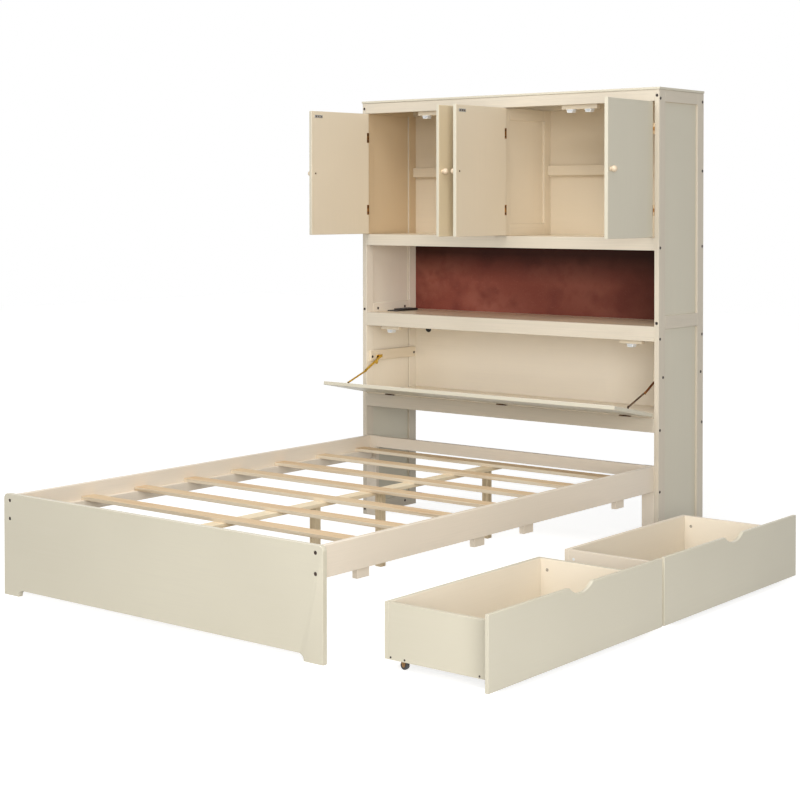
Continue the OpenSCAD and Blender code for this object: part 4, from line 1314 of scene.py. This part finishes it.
# Width of the head frame's legs, and height of its rail
LEG_W, HEAD_RAIL_H = mm(53), mm(46)
head_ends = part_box("head_frame")
left_end, right_end = head_ends[0].x + LEG_W, head_ends[1].x - LEG_W
rail_top = head_ends[1].z - mm(1)
head_rail = inside(head_ends, Z, rail_top - HEAD_RAIL_H, rail_top)
head_boards = [inside(head_ends, X, high=left_end), inside(head_ends, X, low=right_end),
               inside(head_rail, X, left_end + HAIRLINE, right_end - HAIRLINE)]
add_boards("painted_head_frame", head_boards, "rail", ["head_frame"])


def ledge_boards():
    """The ledges, and the stop blocks under them as boards of their own, each found by its
    underside's corners."""
    ledge_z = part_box("side_rail_left")[0].z + mm(4)
    boards = [inside(ends, Z, low=ledge_z) for ends in cad_boxes("ledges_and_stops")]
    solid = cad_copy("ledges_and_stops")
    bottom = min(v.co.z for v in solid.verts)
    corners = [v for v in solid.verts if v.co.z < bottom + mm(1)]
    corners.sort(key=lambda v: v.co.y)
    for first in range(0, len(corners), 4):
        ends = extent(corners[first : first + 4])
        boards.append(inside(ends, Z, bottom, ledge_z - HAIRLINE))
    solid.free()
    return boards


add_boards("painted_ledges", ledge_boards(), "rail", ["ledges_and_stops"])


def slat_tree():
    """A row of equal slats."""
    tree, given = start_tree("slat_row", {
        "Count": ("Int", 8),
        "Pitch": ("Float", 0.25),
        "First Slat": ("Vector", None),
        "Size": ("Vector", None),
        "Finish": ("Material", None),
    })
    step = add_node(tree, "ShaderNodeCombineXYZ", {"Y": given["Pitch"]}).outputs[0]
    row = {"Count": given["Count"], "Start Location": given["First Slat"], "Offset": step}
    line = add_node(tree, "GeometryNodeMeshLine", row).outputs[0]
    slat = add_node(tree, "GeometryNodeMeshCube", {"Size": given["Size"]}).outputs["Mesh"]
    placed = {"Points": line, "Instance": slat}
    slats = add_node(tree, "GeometryNodeInstanceOnPoints", placed).outputs[0]
    end_tree(tree, slats, given["Finish"])
    return tree


def add_slats():
    rows = cad_boxes("slats")
    first = rows[0]
    piece = put_in("pine_slats", bpy.data.meshes.new("pine_slats"))
    row = piece.modifiers.new("row", "NODES")
    row.node_group = slat_tree()
    set_inputs(row, {
        "Count": len(rows),
        "Pitch": rows[1][0].y - rows[0][0].y,
        "First Slat": (first[0] + first[1]) / 2,
        "Size": first[1] - first[0],
        "Finish": FINISHES["pine"],
    })
    settled(piece)
    with edited(piece.data) as solid:
        soften(solid, mm(1))
    lay_grain(piece.data)
    piece.data.materials.clear()
    for finish in ("pine", "sawn"):
        piece.data.materials.append(FINISHES[finish])
    for face in piece.data.polygons:
        face.material_index = int(abs(face.normal.z) < 0.5)
    hand_over(piece, "root", "pine", ["slats"])


def add_shaped(name, node, body="root", linings=()):
    """A painted piece whose outline the construction already has, with its corners rounded."""
    solid = soften(cad_copy(node), DOOR_SOFT, 3)
    add_piece(name, [solid], "panel", body, [node], linings=linings)


add_slats()
add_shaped("painted_footboard", "footboard")
add_fasteners("cabinet_bolt_heads", bolt_spots, FRAME_BOLT, stands_for=["frame_bolts"])
add_fasteners("footboard_bolt_heads", seats_in(*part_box("footboard"))[1], SUNK_BOLT)


# Drawers

# Thickness of a drawer's walls
WALL_T = mm(15)
# Casters, in millimetres: heights of the crown, of the cheeks' tops and of the plate's underside,
# half sizes along X and Y of plate and crown, the cheeks' faces along Y, and the cheeks' radius
# round the axle and half width at the top
CROWN_Z, CHEEK_TOP_Z, PLATE_Z = 28, 30, 31.5
PLATE_HALF_X, PLATE_HALF_Y, CROWN_HALF_X = 16, 12, 10
CHEEK_IN, CHEEK_OUT, CHEEK_R, CHEEK_TOP_HALF = 6.8, 8.3, 5.5, 9
CASTER_SCREW_X, CASTER_SCREW_Y = 12.5, 9.3
# Screws in a drawer's sides: from its near end, from its far end, and their height
SIDE_SCREW_NEAR, SIDE_SCREW_FAR, SIDE_SCREW_Z = (22, 73), 67, 36
# Places of the cam bolt and of the cap, from their corner of the drawer, in millimetres
CAM_AT, CAP_AT = (42, 0, 130), (35.5, 0, 136)


def wall_boards(ends):
    """A drawer's back, and the two sides whose ends it covers."""
    low, high = ends
    back = inside(ends, X, high=low.x + WALL_T)
    rest = inside(ends, X, low=low.x + WALL_T + HAIRLINE)
    return [back, inside(rest, Y, high=low.y + WALL_T), inside(rest, Y, low=high.y - WALL_T)]


def fork_solids(place):
    """A caster's plate, crown, tapered cheeks and axle. place is the middle of its wheel."""
    x, y, z = place * 1000
    solids = [
        rounded_box(mm(x - PLATE_HALF_X, y - PLATE_HALF_Y, PLATE_Z),
                    mm(x + PLATE_HALF_X, y + PLATE_HALF_Y, PLATE_Z + PLATE_T), mm(0.4)),
        rounded_box(mm(x - CROWN_HALF_X, y - CHEEK_OUT, CROWN_Z),
                    mm(x + CROWN_HALF_X, y + CHEEK_OUT, PLATE_Z), mm(1)),
    ]
    for side in (-1, 1):
        outline = arc((z, x), CHEEK_R, 110, 250, 10)
        outline += [(CHEEK_TOP_Z, x - CHEEK_TOP_HALF), (CHEEK_TOP_Z, x + CHEEK_TOP_HALF)]
        near, far = sorted((y + side * CHEEK_IN, y + side * CHEEK_OUT))
        cheek = prism([(mm(a), mm(b)) for a, b in outline], mm(near), mm(far), Y)
        solids.append(soften(cheek, mm(0.3), 1))
    axle = mirrored([(0, -9.4), (2.4, -9.1), (3, -CHEEK_OUT), (1.95, -CHEEK_OUT)])
    solids.append(lathe(axle, along(Y, place), 20))
    return solids


def wheel_solid(place):
    """A caster wheel with a rounded tread, a sunk web and a hub."""
    half = [(2.05, 6), (5, 6), (5.6, 4.8), (10, 4.8), (10.6, 6), (11.9, 6), (12.8, 5.2), (13, 4.4)]
    return lathe(mirrored(half), along(Y, place), 36, True)


# The head drawer's walls take the lighter pink cream: painted light where shade falls between the
# drawers
for drawer, outer in (("foot", "panel"), ("head", "rail")):
    body = drawer + "_drawer"
    painted = "painted_" + body
    low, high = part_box(body + "_walls")
    lining = [("inside", shifted((low + high) / 2, Z, low.z))]
    add_shaped(painted + "_front", body + "_front", body, lining)
    walls = rounded_boxes(wall_boards((low, high)), mm(1))
    add_piece(painted + "_walls", walls, outer, body, [body + "_walls"], linings=lining)
    bottom = rounded_boxes(cad_boxes(body + "_bottom"), THIN_SOFT)
    add_piece(painted + "_bottom", bottom, "inside", body, [body + "_bottom"])
    forks, plate_screws = [], []
    for k in range(1, 5):
        wheel = f"{drawer}_wheel_{k}"
        place = Vector(joints[wheel + "_spin"]["pos_m"])
        forks += fork_solids(place)
        under = shifted(place, Z, mm(PLATE_Z))
        for x, y in itertools.product((-CASTER_SCREW_X, CASTER_SCREW_X),
                                      (-CASTER_SCREW_Y, CASTER_SCREW_Y)):
            plate_screws.append((under + mm(x, y, 0), DOWNWARDS))
        add_piece("moulded_" + wheel, [wheel_solid(place)], "tread", f"{drawer}_caster_{k}",
                  [wheel])
    add_piece(body + "_caster_forks", forks, "fork", body, [body + "_forks"])
    add_fasteners(body + "_caster_screws", plate_screws, CASTER_SCREW, body)
    side_screws = []
    xs = [low.x + mm(x) for x in SIDE_SCREW_NEAR] + [high.x - mm(SIDE_SCREW_FAR)]
    for y, facing in ((low.y, FORWARDS), (high.y, BACKWARDS)):
        side_screws += [(Vector((x, y, mm(SIDE_SCREW_Z))), facing) for x in xs]
    add_fasteners(body + "_side_screws", side_screws, SIDE_SCREW, body)
    # Head of the cam bolt that draws the far corner together, and a cap on the near side
    cam = shifted(low, Y, high.y - WALL_T) + mm(*CAM_AT)
    add_fasteners(body + "_far_cam", [(cam, FORWARDS)], CAM_BOLT, body)
    if drawer == "head":
        add_fasteners(body + "_near_cap", [(low + mm(*CAP_AT), FORWARDS)], CAM_CAP, body)


# Studio

# Half the floor's side in metres, its own light for the camera, and the world's light on the object
FLOOR_HALF, FLOOR_LIFT, WORLD_LIGHT = 14, 0.78, 0.34
LAMPS = {
    # name: place, aim, size in metres, power in watts
    "front_softbox": ((4.6, -4.6, 1.75), (0.0, 0.1, 0.8), 2.8, 252),
    "left_softbox": ((-3.0, -5.0, 2.4), (-0.2, 0.0, 0.6), 2.4, 28),
    "top_softbox": ((0.2, -2.2, 4.3), (0.1, -0.3, 0.3), 3.0, 130),
}


def seen_rays(tree):
    """1 for the camera's rays and those of a reflection, 0 for the rays that light the object."""
    rays = add_node(tree, "ShaderNodeLightPath").outputs
    inputs = {0: rays["Is Camera Ray"], 1: rays["Is Glossy Ray"]}
    return add_node(tree, "ShaderNodeMath", inputs, operation="MAXIMUM").outputs[0]


def add_floor():
    mesh = bpy.data.meshes.new("floor")
    corners = [(x * FLOOR_HALF, y * FLOOR_HALF, 0) for x, y in ((-1, -1), (1, -1), (1, 1), (-1, 1))]
    mesh.from_pydata(corners, [], [(0, 1, 2, 3)])
    floor = put_in("floor", mesh)
    # Matt white paper, lifted to white for the camera and for reflections
    paper, tree, surface = new_finish("matt_white_paper", Roughness=0.9, Base_Color=srgb("#B4B4B2"))
    inputs = {0: seen_rays(tree), 1: FLOOR_LIFT}
    lift = add_node(tree, "ShaderNodeMath", inputs, operation="MULTIPLY").outputs[0]
    surface.inputs["Emission Color"].default_value = (1, 1, 1, 1)
    tree.links.new(lift, surface.inputs["Emission Strength"])
    mesh.materials.append(paper)
    floor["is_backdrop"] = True


def add_world():
    world = bpy.data.worlds.new("studio")
    world.use_nodes = True
    bpy.context.scene.world = world
    tree = world.node_tree
    inputs = {"Value": seen_rays(tree), "To Min": WORLD_LIGHT, "To Max": 1.0}
    strength = add_node(tree, "ShaderNodeMapRange", inputs).outputs[0]
    backdrop = tree.nodes["Background"].inputs
    backdrop["Color"].default_value = (1, 1, 1, 1)
    tree.links.new(strength, backdrop["Strength"])


def add_lamps():
    for name, (place, aim, size, power) in LAMPS.items():
        data = bpy.data.lights.new(name, "AREA")
        data.size = size
        data.energy = power
        lamp = put_in(name, data)
        lamp.location = place
        lamp.rotation_euler = (Vector(aim) - Vector(place)).to_track_quat("-Z", "Y").to_euler()


add_floor()
add_world()
add_lamps()
bpy.context.scene.view_settings.view_transform = "Standard"

low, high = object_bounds()
sizes = {"cad": [list(cad_low), list(cad_high)], "visual": [list(low), list(high)]}
